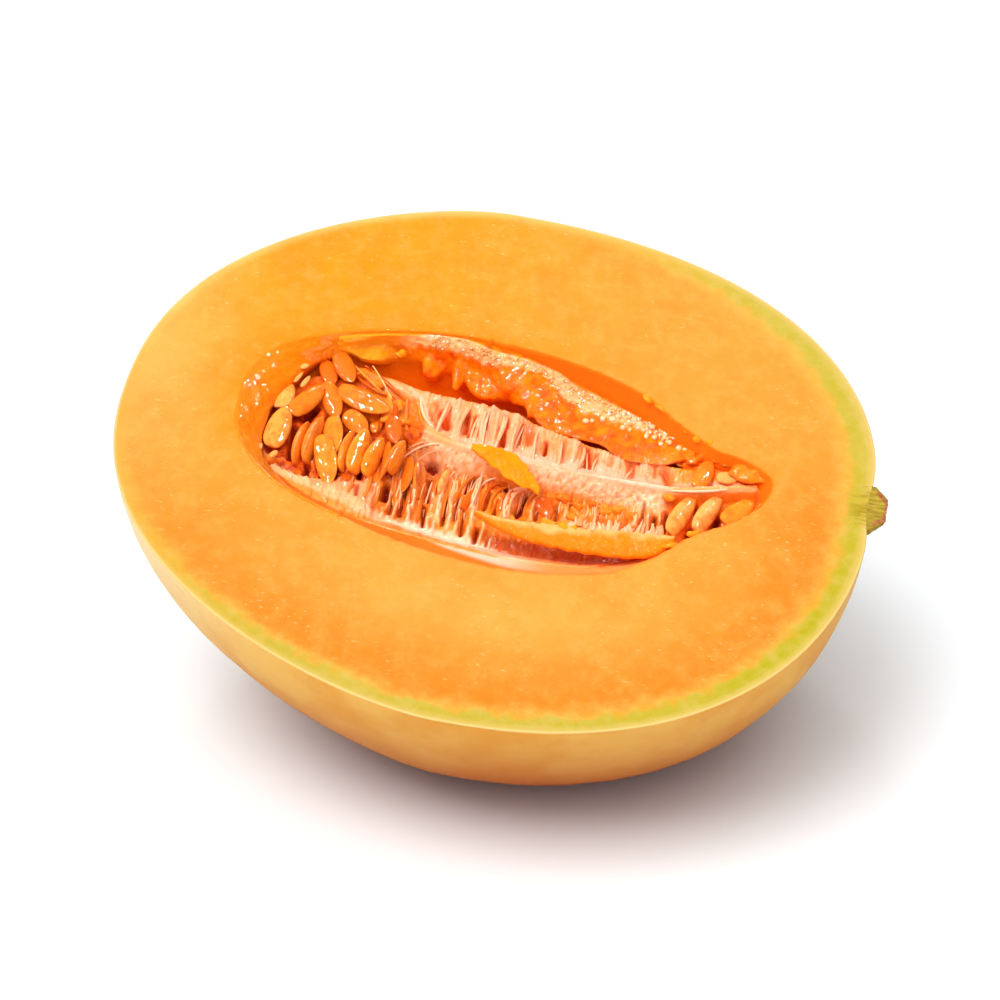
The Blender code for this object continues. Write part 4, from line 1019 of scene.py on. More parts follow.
def build_melon(look):
    """The body with its marks: the layers under the rind, warmer and paler flesh, the pale band of
    the near wall, the fan of the stem's fibres, and the scars of the skin; the skin is painted
    darker low down as shade and paler high up and towards the blossom end as light."""
    surface, layer, well, skin_share = melon_surface()
    p = surface[0]
    u, v, w = p.T
    knots, *columns = np.array(GREEN_LAYER).T
    degrees = np.degrees(np.arctan2(v / 0.85, u)) % 360
    green, band, lively = (smooth(degrees, knots, column) for column in columns)
    under = layered(np.array(look.green_layer) + 0 * p,
                    (look.lively_green, lively * bump(layer / band, 0.45, 0.32)),
                    (look.pale_green, 0.7 * (1 - ease(layer / band, 0.08, 0.34))))
    pale = ease(-u, 56, 84) * 0.9 + ease(-v, 25, 60) * 0.15
    pale = pale + bump(u, 5, 45) * bump(v, -45, 14) * 0.3
    angle, reach = cavity_place(u, v)
    upper = ease(np.cos(angle), 0.35, -0.3) * ease(np.sin(angle), -0.85, 0.1)
    by_band = green * (1 - ease(layer, band, band + 24))
    tint = layered(np.array(look.flesh) + 0 * p,
                   (look.golden_flesh, ease(-u, -45, 45) * ease(v, -10, 42)),
                   (look.pale_flesh, 0.7 * np.clip(pale, 0, 1)),
                   (look.deep_flesh, by_band * ease(-v, -12, 12)),
                   (look.deep_flesh, 0.5 * bump(u, 68, 14) * bump(v, -4, 24)),
                   ((255, 196, 120), 0.8 * (1 - ease(layer, 0.3, 3.2)) * ease(v, 0, 30)),
                   (look.rim_flesh, upper * (1 - ease(reach, 0.97, 1.24))))
    x, y = seen(u, v, -w)
    gap = smooth(x, *PALE_BAND_TOP) - y
    wide = smooth(x, *PALE_BAND_TOP) - smooth(x, *PALE_BAND_FOOT)
    on_wall = (reach < 0.995) * (v < 0) * (skin_share < 0.5) * (w < -0.3)
    band_share = on_wall * (1 - ease(gap, wide - 0.7, wide + 0.6))
    band_share = band_share * ease(x, -56, -50) * (1 - ease(x, 42, 46))
    under = np.where(layer[:, None] >= IN_CAVITY, wall_shade(x), under)
    narrow = 0.45 * (84 - u)
    fan = (skin_share < 0.9) * ease(u, 77.5, 82.5)
    fan = fan * (1 - ease(np.abs(v - STEM_MIDDLE), 3.6 - narrow, 6.2 - narrow))
    scar = sum(bump(u, a, c) * bump(v, b, 1.0) for a, b, c in SCARS)
    height = surface_height(p)
    # The shade mark paints shade low on the skin; the pale mark paints light high up and towards
    # the blossom end
    piece("melon_body", surface, melon_finish(look), "flesh_and_rind", "melon_half", flatten=True,
          layer=layer, well=well, skin=skin_share, green=green, band=band, tint=tint, under=under,
          band_share=band_share, fan=0.9 * fan, shade=1 - ease(height, 0, 52),
          pale=ease(-u, 30, 84) * ease(height, 20, 60) * 0.8 + 0.25 * ease(height, 44, 70),
          scar=scar * (skin_share > 0.5) * 0.6)


# ---------------------------------------------------------------- the seed pulp

def pulp_base(u, v):
    """Depth of the pulp under its fibres: the bed, lifted in the trough where the sockets fill
    it."""
    sockets = ease(smooth(u, *RIB_LINE) - v, 1.5, 6.0) * ease(u, -24, -14) * (1 - ease(u, 34, 44))
    return bed_depth(u, v) - SOCKET_FILL * sockets


def pulp_relief(u, v):
    """What the pulp adds to the bed's height, in mm, and its colour. All of it is placed by what
    the camera sees: pale columns with gaps behind the rib, the gaps painted dark as shade, the
    white crest, the pink face in front of it, walls between the sockets with painted shade between
    them, the bed of the seeds and its pits painted dark as shade, a painted shadow under the
    slab, and the pale band by the near wall."""
    x, y = seen(u, v, pulp_base(u, v))
    place = np.stack([x, y, 0 * x], -1)
    sway = 0.6 * waves(place, 8, 31) + 0.25 * waves(place, 2.5, 32)
    crest_at = smooth(x, *CREST_LINE)
    edge = smooth(u, *EDGE_LINE)
    behind = ease(v, edge - 0.6, edge + 1.2)
    heap = (1 - ease(x - smooth(y, *COMB_START) + 0.6 * sway, -1.0, 0.6)) * (1 - behind)
    band_top, band_foot = smooth(x, *PALE_BAND_TOP), smooth(x, *PALE_BAND_FOOT)
    rough, fine_rough = waves(place, 1.5, 37), waves(place, 0.7, 39)
    fibres = waves(place * (1, 0.28, 1), 1.1, 36, 24)
    fine = stripes(x + 0.6 * sway, 0.7, 34)

    back = ease(y - crest_at, 0.3, 1.6) * (1 - behind) * (1 - heap)
    columns = np.clip(strokes(x + 0.25 * sway, y, COMB_COLUMNS), 0, 1)
    gaps = np.clip(strokes(x + 0.3 * sway, y, COMB_GAPS), 0, 1.2)
    right = ease(x, 38, 43)
    white = bump(y, crest_at + 0.1, 1.3 - 0.5 * ease(x, 36, 44)) * ease(x, -19, -13)
    front = ease(crest_at - y, 0.6, 2.2) * (1 - ease(crest_at - y + 1.2 * rough, 5.5, 7.5))
    front = front * (1 - heap) * (1 - ease(x, 38, 42))
    lower = ease(x, 0, 12)
    low = ease(crest_at - y, 3.0 + 2.5 * lower, 5.5 + 3.5 * lower) * (1 - heap)
    low *= ease(y, band_foot, band_top + 0.8)
    walls = strokes(x + 0.5 * sway, y, TROUGH_WALLS) * (0.85 + 0.3 * rough) + 0.12 * fibres
    walls = np.clip(walls, 0, 1)
    web = low * bump(x, -7, 7) * ease(y, -12, -6.5)
    band = ease(band_top - 0.5 + 0.5 * sway + 0.35 * fibres - y, -1.2, 0.8)
    beyond = ease(band_foot - y, -0.3, 0.7)
    fuzz = heap * ease(-y - 0.9 * fibres + 0.5 * sway + 0.12 * (x + 36), 16.4, 19.4)
    pits = np.clip(strokes(x + 0.15 * sway, y, SHADED_PITS), 0, 1.2)
    knobs = bump(x, -9.9, 0.6) + bump(x, -2.3, 0.7) + bump(x, 0.8, 0.5) + 0.6 * bump(x, -15, 0.9)
    nubs = bump(v, edge - 0.6, 0.8) * (knobs + 0.3 * np.maximum(fine, 0)) * ease(x, -21, -17)
    strip = heap * (1 - ease(edge - v + 0.4 * rough, 1.6, 3.2)) * ease(x, -33, -27)
    open_bed = heap * (1 - fuzz) * (1 - band) * (1 - strip)
    pocket = right * ease(crest_at - y, 1.0, 2.6) * (1 - band)

    height = (back * (0.7 * columns + 0.16 * fine + 0.2 * fibres) - 2.4 * gaps * back + 0.45 * white
              + front * (0.2 * rough + 0.2 * fine_rough + 0.14 * fibres)
              + low * (1.9 * walls - 0.9 + 0.16 * fibres) + 0.9 * nubs + 0.9 * web
              + band * 0.06 * fibres + 0.1 * rough + 0.05 * fine_rough - 2.2 * pits - 1.4 * open_bed
              + 0.35 * fuzz * (1 + 0.7 * fibres) - 2.0 * pocket
              + 0.2 * waves(place, 4, 38) * (1 - white))

    bare = low * (1 - walls)
    clumps = bump(x, -26, 6) * bump(y, 7, 6) * np.clip(0.6 + 0.5 * rough, 0, 1)
    tint = layered(
        paint(255, 154, 84) + 0 * place,
        ((246, 132, 40), right),
        ((255, 160, 96), back),
        ((255, 184, 142), back * (0.85 * columns + 0.3 * fine + 0.25 * fibres + 0.1)),
        ((255, 192, 158), back * (1 - ease(y - crest_at, 1.2, 4.0)) * 0.8),
        ((255, 200, 150), front * (0.8 - 0.5 * rough)),
        ((255, 220, 186), front * np.clip(0.5 + 0.5 * rough + 0.25 * fine_rough, 0, 1) * 0.8),
        ((244, 140, 56), front * np.clip(-0.6 - fine_rough - rough, 0, 1) * 0.8),
        ((248, 158, 56), low * (1.15 - 1.1 * walls)),
        # Painted shade: darker between the walls of the trough and deep in the sockets
        ((232, 118, 20), low * np.clip(0.5 - 2.0 * walls - 0.5 * rough - 0.3 * fibres, 0, 1)),
        ((196, 80, 10), 0.75 * bare * bump(x, -15, 6) * np.clip(0.7 + 0.4 * rough, 0, 1)),
        ((200, 84, 16), 0.8 * bare * bump(x, 33, 8) * bump(y, -16, 2.5)),
        # Painted shadow under the pale slab
        ((186, 58, 2), low * 0.75 * ease(x, 1, 5) * (1 - ease(y, -25.5, -23.5))),
        ((255, 212, 168), low * np.clip(1.5 * walls - 0.35 + 0.2 * fine_rough, 0, 1)),
        ((255, 220, 184), web * (0.85 + 0.4 * rough)),
        # Painted shade: the gaps between the comb's columns darker
        ((218, 84, 6), gaps * back * 1.3),
        ((255, 204, 172), white * 1.1),
        ((255, 164, 76), white * (1 - ease(x, -12, -2)) * 0.85),
        ((255, 162, 74), white * ease(x, 37, 43) * 0.9),
        ((255, 196, 160), nubs * 1.2),
        # Painted shade: the bed among the seeds darker, darkest in patches towards the near side
        ((240, 114, 10), open_bed * (0.95 + 0.3 * rough)),
        ((176, 52, 4), open_bed * np.clip(0.5 - 0.6 * rough, 0, 1) * ease(-y, -4, 1)),
        ((255, 168, 52), open_bed * clumps),
        ((255, 180, 126), strip * 0.9),
        ((255, 158, 108), fuzz * (0.75 + 0.3 * fibres)),
        ((246, 136, 34), pocket * (1 - 0.3 * rough)),
        ((255, 150, 44), right * ease(y - crest_at, 1.5, 3.0) * (0.8 + 0.3 * rough)),
        (hollow_shade(x), behind),
        # Painted shade: the pits near-black
        ((150, 34, 4), pits),
        (wall_shade(x), band * (0.95 + 0.1 * rough)),
        ((255, 150, 60), beyond))
    return height, tint


def hollow_shade(x):
    """The colour behind the pulp's back edge: deep in the hollow, and flesh orange at the two
    ends."""
    deep = ease(x, -36, -31) * (1 - ease(x, 40, 46))
    return toward(paint(250, 130, 40) + 0 * x[..., None], paint(255, 138, 14), deep)


def on_pulp(x, y):
    """The depth of the pulp at a place seen on the face, found by stepping along the line of
    sight."""
    depth = 8.0 + 0 * x
    for _ in range(SIGHT_STEPS):
        u, v = unseen(x, y, depth)
        depth = depth + SIGHT_SHARE * (pulp_base(u, v) - pulp_relief(u, v)[0] - depth)
    return depth


def pulp_surface():
    """The closed pulp over a grid of stations along the fruit: each loop runs across the top from
    the near wall to the far one, at the bed's depth less the relief, and back along the cavity's
    wall."""
    count, across, under = PULP_GRID
    stations = np.linspace(*PULP_SPAN, count)
    lines = []
    for side in (-1, 1):
        turn = HALF_TURN * side
        line = in_cavity(turn, smooth(turn % (2 * math.pi) / math.pi, *PULP_LIMIT))
        lines.append(np.interp(stations, line[::-1, 0], line[::-1, 1]))
    near, far = (line[:, None] for line in lines)
    share = np.linspace(0, 1, across)
    v = near + (far - near) * share
    u = stations[:, None] + 0 * v
    wall = cavity_depth(u, v)
    height, tint = pulp_relief(u, v)
    depth = np.minimum(pulp_base(u, v) - height, wall - 0.5)
    tuck = 1 - ease(np.minimum(share, share[::-1]) * across, 0, 4)
    first, last = PULP_SPAN
    ends = np.maximum(1 - ease(u, first, first + 1.5), ease(u, last - 1.4, last))
    depth = depth + (wall + 0.6 - depth) * np.maximum(tuck, ends)
    over = np.stack([u, v, -depth], -1)
    v = far + (near - far) * np.linspace(0, 1, under)[1:-1]
    u = stations[:, None] + 0 * v
    below = np.stack([u, v, -(cavity_depth(u, v) + 0.9)], -1)
    rings = np.concatenate([over, below], 1)
    tints = np.concatenate([tint, np.broadcast_to(paint(240, 92, 14), below.shape)], 1)
    return skin(rings), ringed(tints)


def build_pulp(look):
    """The bed of seed pulp, in one piece."""
    surface, tint = pulp_surface()
    finish = pulp_finish("seed_pulp", 0.15, 0.8, spread=(1.0, 0.6, 0.35), Coat_IOR=1.45,
                         Coat_Roughness=0.06)
    piece("pulp_bed", surface, finish, "pulp_and_seeds", "seed_pulp", tint=tint)


# ---------------------------------------------------------------- seeds

def seed_rings(rows, stations, sides):
    """Almonds over stations along each seed and an angle round it: the half-width is a sine of the
    station raised to a power that grows to the tip, and the section is a flat ellipse with a
    rim."""
    rows = np.array(rows, float)
    long, wide = rows[:, 6, None, None], rows[:, 7, None, None]
    t = np.linspace(0.13, math.pi - 0.1, stations)
    half = np.sin(t) ** (0.72 + 0.5 * (t / math.pi) ** 2) * (1 + 0.1 * np.cos(t))
    turn = np.linspace(0, 2 * math.pi, sides, endpoint=False)
    x = -np.cos(t)[:, None] / 2 * long + 0 * turn
    y = (half / 2)[:, None] * wide * np.cos(turn)
    fat = np.sin(turn) * (1 - 0.18 * np.abs(np.cos(turn)) ** 3)
    z = (half ** 1.25 / 2 * SEED_THICK)[:, None] * wide * fat
    local = np.stack([x, y, z], -1)
    local[..., 2] += 0.02 * (local[..., 0] ** 2 - (long / 2.6) ** 2)
    turned = np.array([np.array(Euler(np.radians((roll, -pitch, heading)), "XYZ").to_matrix())
                       for heading, pitch, roll in rows[:, 3:6]])
    place = rows[:, :3] * (1, 1, -1)
    rings = np.einsum("sij,sabj->sabi", turned, local) + place[:, None, None]
    tips = [np.einsum("sij,sj->si", turned, np.outer(rows[:, 6] / 2 * s, (1.0, 0, 0))) + place
            for s in (-1, 1)]
    return rings, *tips


def build_seeds(look):
    """The seeds in their own tones, paler at one tip, darker at the other, and the unripe ones."""
    rows = np.array(SEEDS + BURIED_SEEDS)
    buried = np.arange(len(rows)) >= len(SEEDS)
    x, y = seen(*rows[:, :3].T)
    rows[:, 2] += 0.9 * buried
    rows[:, 0], rows[:, 1] = unseen(x, y, rows[:, 2])
    surface = skin(*seed_rings(rows, *SEED_GRID))
    tone = 1.15 * np.array(SEED_TONES)
    shade = np.array(look.seed) + 0 * rows[:, :3]
    shade = layered(shade, (look.dark_seed, tone), (look.pale_seed, -tone))
    one = np.repeat(np.linspace(0, 1, SEED_GRID[0]), SEED_GRID[1])
    along = np.tile(np.concatenate([[0], one, [1]]), len(rows))
    f = wet("seed_coat", glow=0.1, coat=1.0, spread=(1.6, 0.6, 0.2), Roughness=0.5, **GLASSY)
    colour = f.mix(f.clouds(2.2, 4, 0.42, 0.66, 0.0, 0.5), f.mark("tint", "Color"), look.dark_seed)
    colour = f.mix(f.clouds(0.9, 3, 0.6, 0.75, 0.0, 0.2), colour, paint(246, 158, 60))
    colour = f.mix(f.span(f.mark("along"), 0.86, 1.0, 0.0, 0.5), colour, paint(250, 180, 104))
    colour = f.mix(f.span(f.mark("along"), 0.0, 0.14, 0.6, 0.0), colour, paint(180, 80, 14))
    finish = f.done(colour, None, f.noise(1.7, 1), 0.26)
    piece("seeds", surface, finish, "pulp_and_seeds", tint=per_copy(surface, shade), along=along)
    pale = skin(*seed_rings(PALE_SEEDS, 14, 12))
    finish = pulp_finish("unripe_seed", 0.3, 1.0, 0.15, Coat_Roughness=0.04)
    piece("pale_seeds", pale, finish, "pulp_and_seeds", tint=one_colour(pale, 255, 170, 92))


# ---------------------------------------------------------------- strands and fibres

def arches(u, start, end, arch, sway, stations=14):
    """Paths across the face from one place to another at station u, whose ends lie in the bed and
    whose middle is raised by arch."""
    share = np.linspace(0, 1, stations)
    v = start[:, None] + (end - start)[:, None] * share
    x = u[:, None] + sway[:, None] * np.sin(3 * share + u[:, None])
    ends = bed_depth(x[:, (0, -1)], v[:, (0, -1)]) + 0.5
    rise = 4 * arch[:, None] * share * (1 - share)
    depth = ends[:, :1] + (ends[:, 1:] - ends[:, :1]) * share - rise
    return np.stack([x, v, -depth], -1)


def taper(share):
    """How thick a strand is along it, as a share: full in the middle and about half at the
    ends."""
    return 0.55 + 0.45 * np.sin(math.pi * share) ** 0.6


def bundles(paths, count, spread, radius, seed):
    """Each path as several thinner fibres that twist slowly round it and thin out at both ends."""
    rng = np.random.default_rng(seed)
    copies, stations = paths.shape[:2]
    share = np.linspace(0, 1, stations)
    each = (copies, count, 1)
    twist = rng.uniform(0, 7, each) + rng.uniform(-2.5, 2.5, each) * share
    off = spread * rng.uniform(0.3, 1.0, each)
    shift = np.stack([off * np.cos(twist), 0 * twist, 0.7 * off * np.sin(twist)], -1)
    thick = radius * rng.uniform(0.6, 1.3, each) * taper(share)
    return (paths[:, None] + shift).reshape(-1, stations, 3), thick.reshape(-1, stations)


def calmed(values, reach):
    """A row of values, each as the mean of itself and its neighbours, reach to each side."""
    count = 2 * reach + 1
    return np.convolve(np.pad(values, reach, mode="edge"), np.ones(count) / count, mode="valid")


def laid(rows, stations=18):
    """Paths through three places seen on the face, a parabola each, that lie on the pulp and stand
    out of it by a lift in the middle; their ends sink in."""
    rows = np.array(rows)
    t = np.linspace(0, 1, stations)
    curve = np.stack([(1 - t) * (1 - 2 * t), 4 * t * (1 - t), t * (2 * t - 1)])
    x, y = rows[:, 0:6:2] @ curve, rows[:, 1:6:2] @ curve
    depth = np.array([calmed(row, 2) for row in on_pulp(x, y)])
    lift = rows[:, 6:7] * np.sin(math.pi * t) ** 0.5
    depth = depth - lift + 0.2
    return at_depth(x, y, depth), rows[:, 7:8] * taper(t)


def socket_fibres(rng, count):
    """Rows for fine fibres between the rib and the near wall, at random but for the open
    sockets."""
    first = rng.uniform(-29, 38, count)
    high = rng.uniform(-12.5, -8.5, count)
    long = rng.uniform(3.5, 13.0, count)
    low = np.maximum(high - long, smooth(first, *SOCKET_FLOOR) + rng.uniform(0, 1.5, count))
    drift = rng.uniform(-0.5, 0.9, count)
    bend = rng.uniform(-0.5, 0.5, count)
    rows = np.stack([first, high, first + 0.5 * drift + bend, (high + low) / 2, first + drift, low,
                     rng.uniform(0.1, 0.5, count), rng.uniform(0.14, 0.28, count)], 1)
    holes = [(np.abs(first - at) < half) & (low > foot) for at, half, foot in OPEN_SOCKETS]
    return rows[~np.any(holes, 0)]


def build_strands(look):
    """Fibres of the pulp, a thread that hangs loose, and strands of gel."""
    rng = np.random.default_rng(51)
    comb = np.array(COMB_STRANDS)
    one = np.ones(len(comb))
    rib, edge = smooth(comb, *RIB_LINE), smooth(comb, *EDGE_LINE)
    over = arches(comb, rib + 0.6, edge - 0.8, one, 0.5 * one)
    comb_at = rng.uniform(-17, 33, look.fibre_count)
    first = smooth(comb_at, *RIB_LINE) + rng.uniform(0.2, 1.5, len(comb_at))
    reach = smooth(comb_at, *EDGE_LINE) - first
    last = first + reach * rng.uniform(0.5, 1.0, len(comb_at))
    arch, sway = rng.uniform(0.2, 0.7, len(comb_at)), rng.uniform(-0.6, 0.6, len(comb_at))
    combs = arches(comb_at, first, last, arch, sway)
    sets = (
        (laid(socket_fibres(rng, look.socket_fibres), 12), (255, 206, 160), (238, 122, 36)),
        (bundles(over, 2, 0.5, 0.4, 53), (255, 202, 164), (252, 172, 118)),
        (bundles(combs, 1, 0.1, 0.26, 55), (255, 204, 168), (252, 172, 118)),
        (laid(PALE_STRANDS), (255, 204, 168), (255, 180, 128)),
    )
    surfaces, tints = [], []
    for (paths, thick), light, deep in sets:
        made = tubes(paths, thick)
        share = rng.uniform(0, 1, len(paths))[:, None]
        surfaces.append(made)
        tints.append(per_copy(made, blend(paint(*light), paint(*deep), share)))
    finish = pulp_finish("pulp_fibre", 0.1, 0.5, 0.3, spread=(0.4, 0.25, 0.15))
    piece("strands", together(*surfaces), finish, "pulp_and_seeds", tint=np.concatenate(tints))

    marks = np.arange(len(LOOSE_THREAD))
    fine = np.linspace(0, marks[-1], 22)
    thread = np.stack([smooth(fine, marks, places) for places in zip(*LOOSE_THREAD)], -1)[None]
    made = tubes(thread, 0.17 * np.ones(thread.shape[:2]), 8)
    piece("pale_thread", made, finish, "pulp_and_seeds", tint=one_colour(made, 255, 196, 130))

    paths, thick = laid(GEL_STRANDS)
    made = tubes(paths, thick, 10)
    share = rng.uniform(0, 1, len(paths))[:, None]
    tint = per_copy(made, blend(paint(250, 146, 48), paint(214, 96, 20), share))
    piece("gel_strands", made, gel_finish("strand_gel"), "pulp_and_seeds", tint=tint)


# ---------------------------------------------------------------- the gel ridge and its grains

def far_wall_line(x, depth):
    """Where the far wall lies at stations x, at a depth for each."""
    reach = np.interp(depth, FAR_WALL[1][::-1], FAR_WALL[0][::-1])
    return np.array([level_across(a, True, b) for a, b in zip(x, reach)])


def ridge_grid(stations=330, sides=60):
    """The gel band: at each station a closed smooth section through nine marks, from inside the
    far wall, out over its upper edge to the lobed lip, and back along the wall. Both edges are
    placed by what the camera sees; lumps are added along the upper side."""
    x = np.linspace(*RIDGE_SPAN, stations)
    lip_line = smooth(x, *RIDGE_LIP)
    top_depth, lip_depth = smooth(x, *RIDGE_TOP_DEPTH), smooth(x, *RIDGE_LIP_DEPTH)
    top_u, high = unseen(x, smooth(x, *RIDGE_TOP), top_depth)
    lip_u, lip = unseen(x, lip_line, lip_depth)
    low = far_wall_line(lip_u, lip_depth + 1.5) + 0.4
    high = np.minimum(high, far_wall_line(x, top_depth) - 0.35)
    lip = np.minimum(lip, far_wall_line(x, lip_depth) - 0.7)
    above_pulp = calmed(on_pulp(x, lip_line), 12) - 1.2
    on_top = ease(x, 4.6, 6.5)
    lip_depth = lip_depth + (np.minimum(lip_depth, above_pulp) - lip_depth) * on_top
    lifted_u, lifted = unseen(x, lip_line, lip_depth)
    lip_u = lip_u + (lifted_u - lip_u) * on_top
    lip = np.where(x > 5.5, np.minimum(lip, lifted), lip)
    high = np.maximum(high, lip + 0.3)
    low = np.maximum(low, lip + 1.2)
    lobes = np.lib.stride_tricks.sliding_window_view(np.pad(lip, 24, mode="edge"), 49)
    calm = calmed(lobes.max(1), 12)
    back, fall = low - lip, lip_depth - top_depth
    marks = np.array((
        (top_u, high + 2.2, top_depth + 0.5),
        (top_u, high + 0.2, top_depth),
        (0.6 * top_u + 0.4 * lip_u, high + 0.45 * (calm - high), top_depth + 0.3 * fall - 0.3),
        (0.25 * top_u + 0.75 * lip_u, high + 0.95 * (calm - high), top_depth + 0.74 * fall - 0.4),
        (lip_u, lip, lip_depth),
        (lip_u, lip + 0.12 * back, lip_depth + RIDGE_THICK * 0.7),
        (lip_u, lip + 0.55 * back, lip_depth + RIDGE_THICK),
        (lip_u, low + 0.8, lip_depth + 1.9),
        (top_u, (high + low) / 2 + 2.0, (top_depth + lip_depth) / 2 + 1.4)))
    knots = np.arange(-3, 13)
    t = np.linspace(0, 9, sides, endpoint=False)
    section = np.array([[smooth(t, knots, marks[knots % 9, axis, i]) for axis in (0, 1, 2)]
                        for i in range(stations)])
    rings = section.transpose(0, 2, 1) * (1, 1, -1)
    upper = ease(t, 1.2, 1.9) * (1 - ease(t, 4.3, 5.2))
    lumps = 0.34 * waves(rings, 4.2, 61) + 0.16 * waves(rings, 1.6, 62)
    rings[..., 2] += lumps * upper
    rings[..., 1] -= 0.4 * lumps * upper
    return rings, t


def apron_grid(stations=230, across=46):
    """The wet gel that softens the cavity's blossom end: over an angle round the rim and the
    reach, its upper side falls gently from the face to the seeds, and its under side lies inside
    the flesh."""
    degrees = np.linspace(98, 238, stations)[:, None]
    inner = 1.0 - smooth(degrees, *APRON_WIDTH)
    reach = 1.02 + (inner - 1.02) * np.linspace(0, 1, across)
    fall = smooth((1.0 - reach) / (1.0 - inner), *APRON_FALL)
    depth = fall * smooth(degrees, *APRON_DEPTH)
    over = np.concatenate([in_cavity(np.radians(degrees), reach), -depth[..., None]], -1)
    wobble = 0.32 * waves(over, 6, 91) + 0.07 * waves(over, 2.2, 92)
    over[..., 2] += wobble * ease(fall, 0.03, 0.3)
    under = over[:, ::-1].copy()
    under[..., 2] -= 0.9 + 1.6 * ease(fall[:, ::-1], 0.0, 0.4)
    whole = np.concatenate([over, under[:, 1:-1]], 1)
    return whole, np.concatenate([fall, fall[:, ::-1][:, 1:-1]], 1)


def on_ridge(x, y):
    """The depth of the ridge's upper side at a place seen on the face."""
    top, lip = smooth(x, *RIDGE_TOP), smooth(x, *RIDGE_LIP)
    high, low = smooth(x, *RIDGE_TOP_DEPTH), smooth(x, *RIDGE_LIP_DEPTH)
    return high + (low - high) * np.clip((top - y) / (top - lip), 0, 1) - 0.3


def build_gel(look):
    """The gel band with its pale film, the gel over the rim, the grains and drops that lie on the
    band, and uneven balls of gel on the pulp."""
    rings, t = ridge_grid()
    x, y = seen(rings[..., 0], rings[..., 1], -rings[..., 2])
    below = smooth(x, *RIDGE_TOP) - y
    end = smooth(x, *FILM_REACH)
    uneven = below + 0.7 * waves(rings, 2.5, 63)
    film = ease(below, -0.6, 0.4) * (1 - ease(uneven, end - 1.2, end + 0.8))
    film *= ease(x, -32, -20) * (1 - ease(x, 30, 40)) * (t < 4.4)
    patches = np.clip(0.6 + 0.6 * waves(rings, 3.3, 57), 0, 1)
    dark = 0.8 * ease(x, 4, 8) * ease(below, 4, 7) * patches
    pale_film = toward(paint(255, 226, 168) + 0 * rings, paint(255, 200, 150), ease(x, 4, 12))
    tint = layered(np.array(look.gel) + 0 * rings,
                   ((255, 116, 4), ease(t, 4.6, 5.6) + 0 * x),
                   ((255, 142, 2), 0.5 + 0.5 * waves(rings, 4.0, 60)),
                   ((236, 92, 4), np.clip(0.9 * waves(rings, 2.6, 58) - 0.1, 0, 1)),
                   ((226, 88, 4), dark),
                   (pale_film, film * (0.8 + 0.35 * waves(rings, 1.6, 59))),
                   ((255, 168, 34), 0.8 * (1 - ease(x, -30, -17)) * (1 - film)),
                   ((250, 140, 56), ease(x, 27, 33) * (1 - ease(y, 3.4, 5.4)) * 0.6))
    finish = gel_finish("wet_gel")
    piece("gel_band", skin(rings), finish, "gel", "gel_ridge", tint=ringed(tint))

    rings, fall = apron_grid()
    tint = layered(np.array(look.rim_flesh) + 0 * rings,
                   ((255, 142, 8), ease(fall, 0.02, 0.5)),
                   ((255, 126, 6), ease(fall + 0.1 * waves(rings, 3, 93), 0.75, 1.05)))
    piece("gel_apron", skin(rings), finish, "gel", tint=ringed(tint))

    rng = np.random.default_rng(64)
    count = look.grain_count
    x = rng.uniform(-22, 39, count)
    y = smooth(x, *RIDGE_TOP) - 0.2 - smooth(x, *FILM_REACH) * rng.uniform(0, 1, count) ** 1.3
    sizes = rng.uniform(0.2, 0.36, count) * (0.8 + 0.5 * ease(x, 8, 26))
    made = beads(at_depth(x, y, on_ridge(x, y)), sizes, 65)
    share = rng.uniform(0, 1, count)[:, None]
    tint = blend(paint(255, 208, 150), paint(255, 172, 84), share)
    # Painted glints: the palest grains near white
    tint = per_copy(made, np.where(share > 0.84, paint(255, 246, 232), tint))
    grain = pulp_finish("pale_grain", 0.2, 1.0, 0.1, Coat_Roughness=0.04, Coat_IOR=1.5,
                        Roughness=0.4)
    piece("pale_grains", made, grain, "gel", tint=tint)

    x, y = np.array(WHITE_DROPS).T
    made = beads(at_depth(x, y, on_ridge(x, y) - 0.15), rng.uniform(0.5, 0.75, len(x)), 66, 14)
    piece("white_drops", made, grain, "gel", tint=one_colour(made, 255, 206, 158))

    x, y, stand, *half = np.array(GEL_POOLS).T
    ball = sphere(16, 30)
    middles, half = at_depth(x, y, on_pulp(x, y) - stand), np.stack(half, -1)
    blobs = middles[:, None, None] + ball * half[:, None, None]
    blobs = blobs + (0.35 * waves(blobs, 3.0, 67) + 0.2 * waves(blobs, 1.2, 68))[..., None] * ball
    made = skin(blobs)
    share = rng.uniform(0.1, 0.9, len(x))[:, None]
    tint = per_copy(made, blend(paint(253, 156, 44), paint(240, 118, 18), share))
    piece("gel_lumps", made, finish, "gel", tint=tint)


# ---------------------------------------------------------------- loose flesh

def tongue(path, half, depth, thick, lean, stations, sides, ragged, seed):
    """A thin tongue of flesh over a grid of stations along its path and an angle round its
    section: a flat ellipse that leans across, with edges made ragged by seeded waves."""
    marks = np.arange(len(path))
    fine = np.linspace(0.02, len(path) - 1.02, stations)
    u, v, width, low = (smooth(fine, marks, row)[:, None] for row in (*zip(*path), half, depth))
    turn = np.linspace(0, 2 * math.pi, sides, endpoint=False)
    across = np.cos(turn)
    near, far = (stripes(u[:, 0], step, seed + i)[:, None] for i, step in enumerate((3.2, 2.3)))
    a = across * (1 + ragged * near * (across < 0) + ragged * far * (across > 0))
    over = np.sign(np.sin(turn)) * np.abs(np.sin(turn)) ** 0.7
    rings = np.stack([u + 0 * a, v + width * a, -low + lean * a * width + thick / 2 * over], -1)
    rings[..., 2] += 0.12 * waves(rings, 2.6, seed + 2) * (over > 0)
    return rings, across + 0 * rings[..., 0]


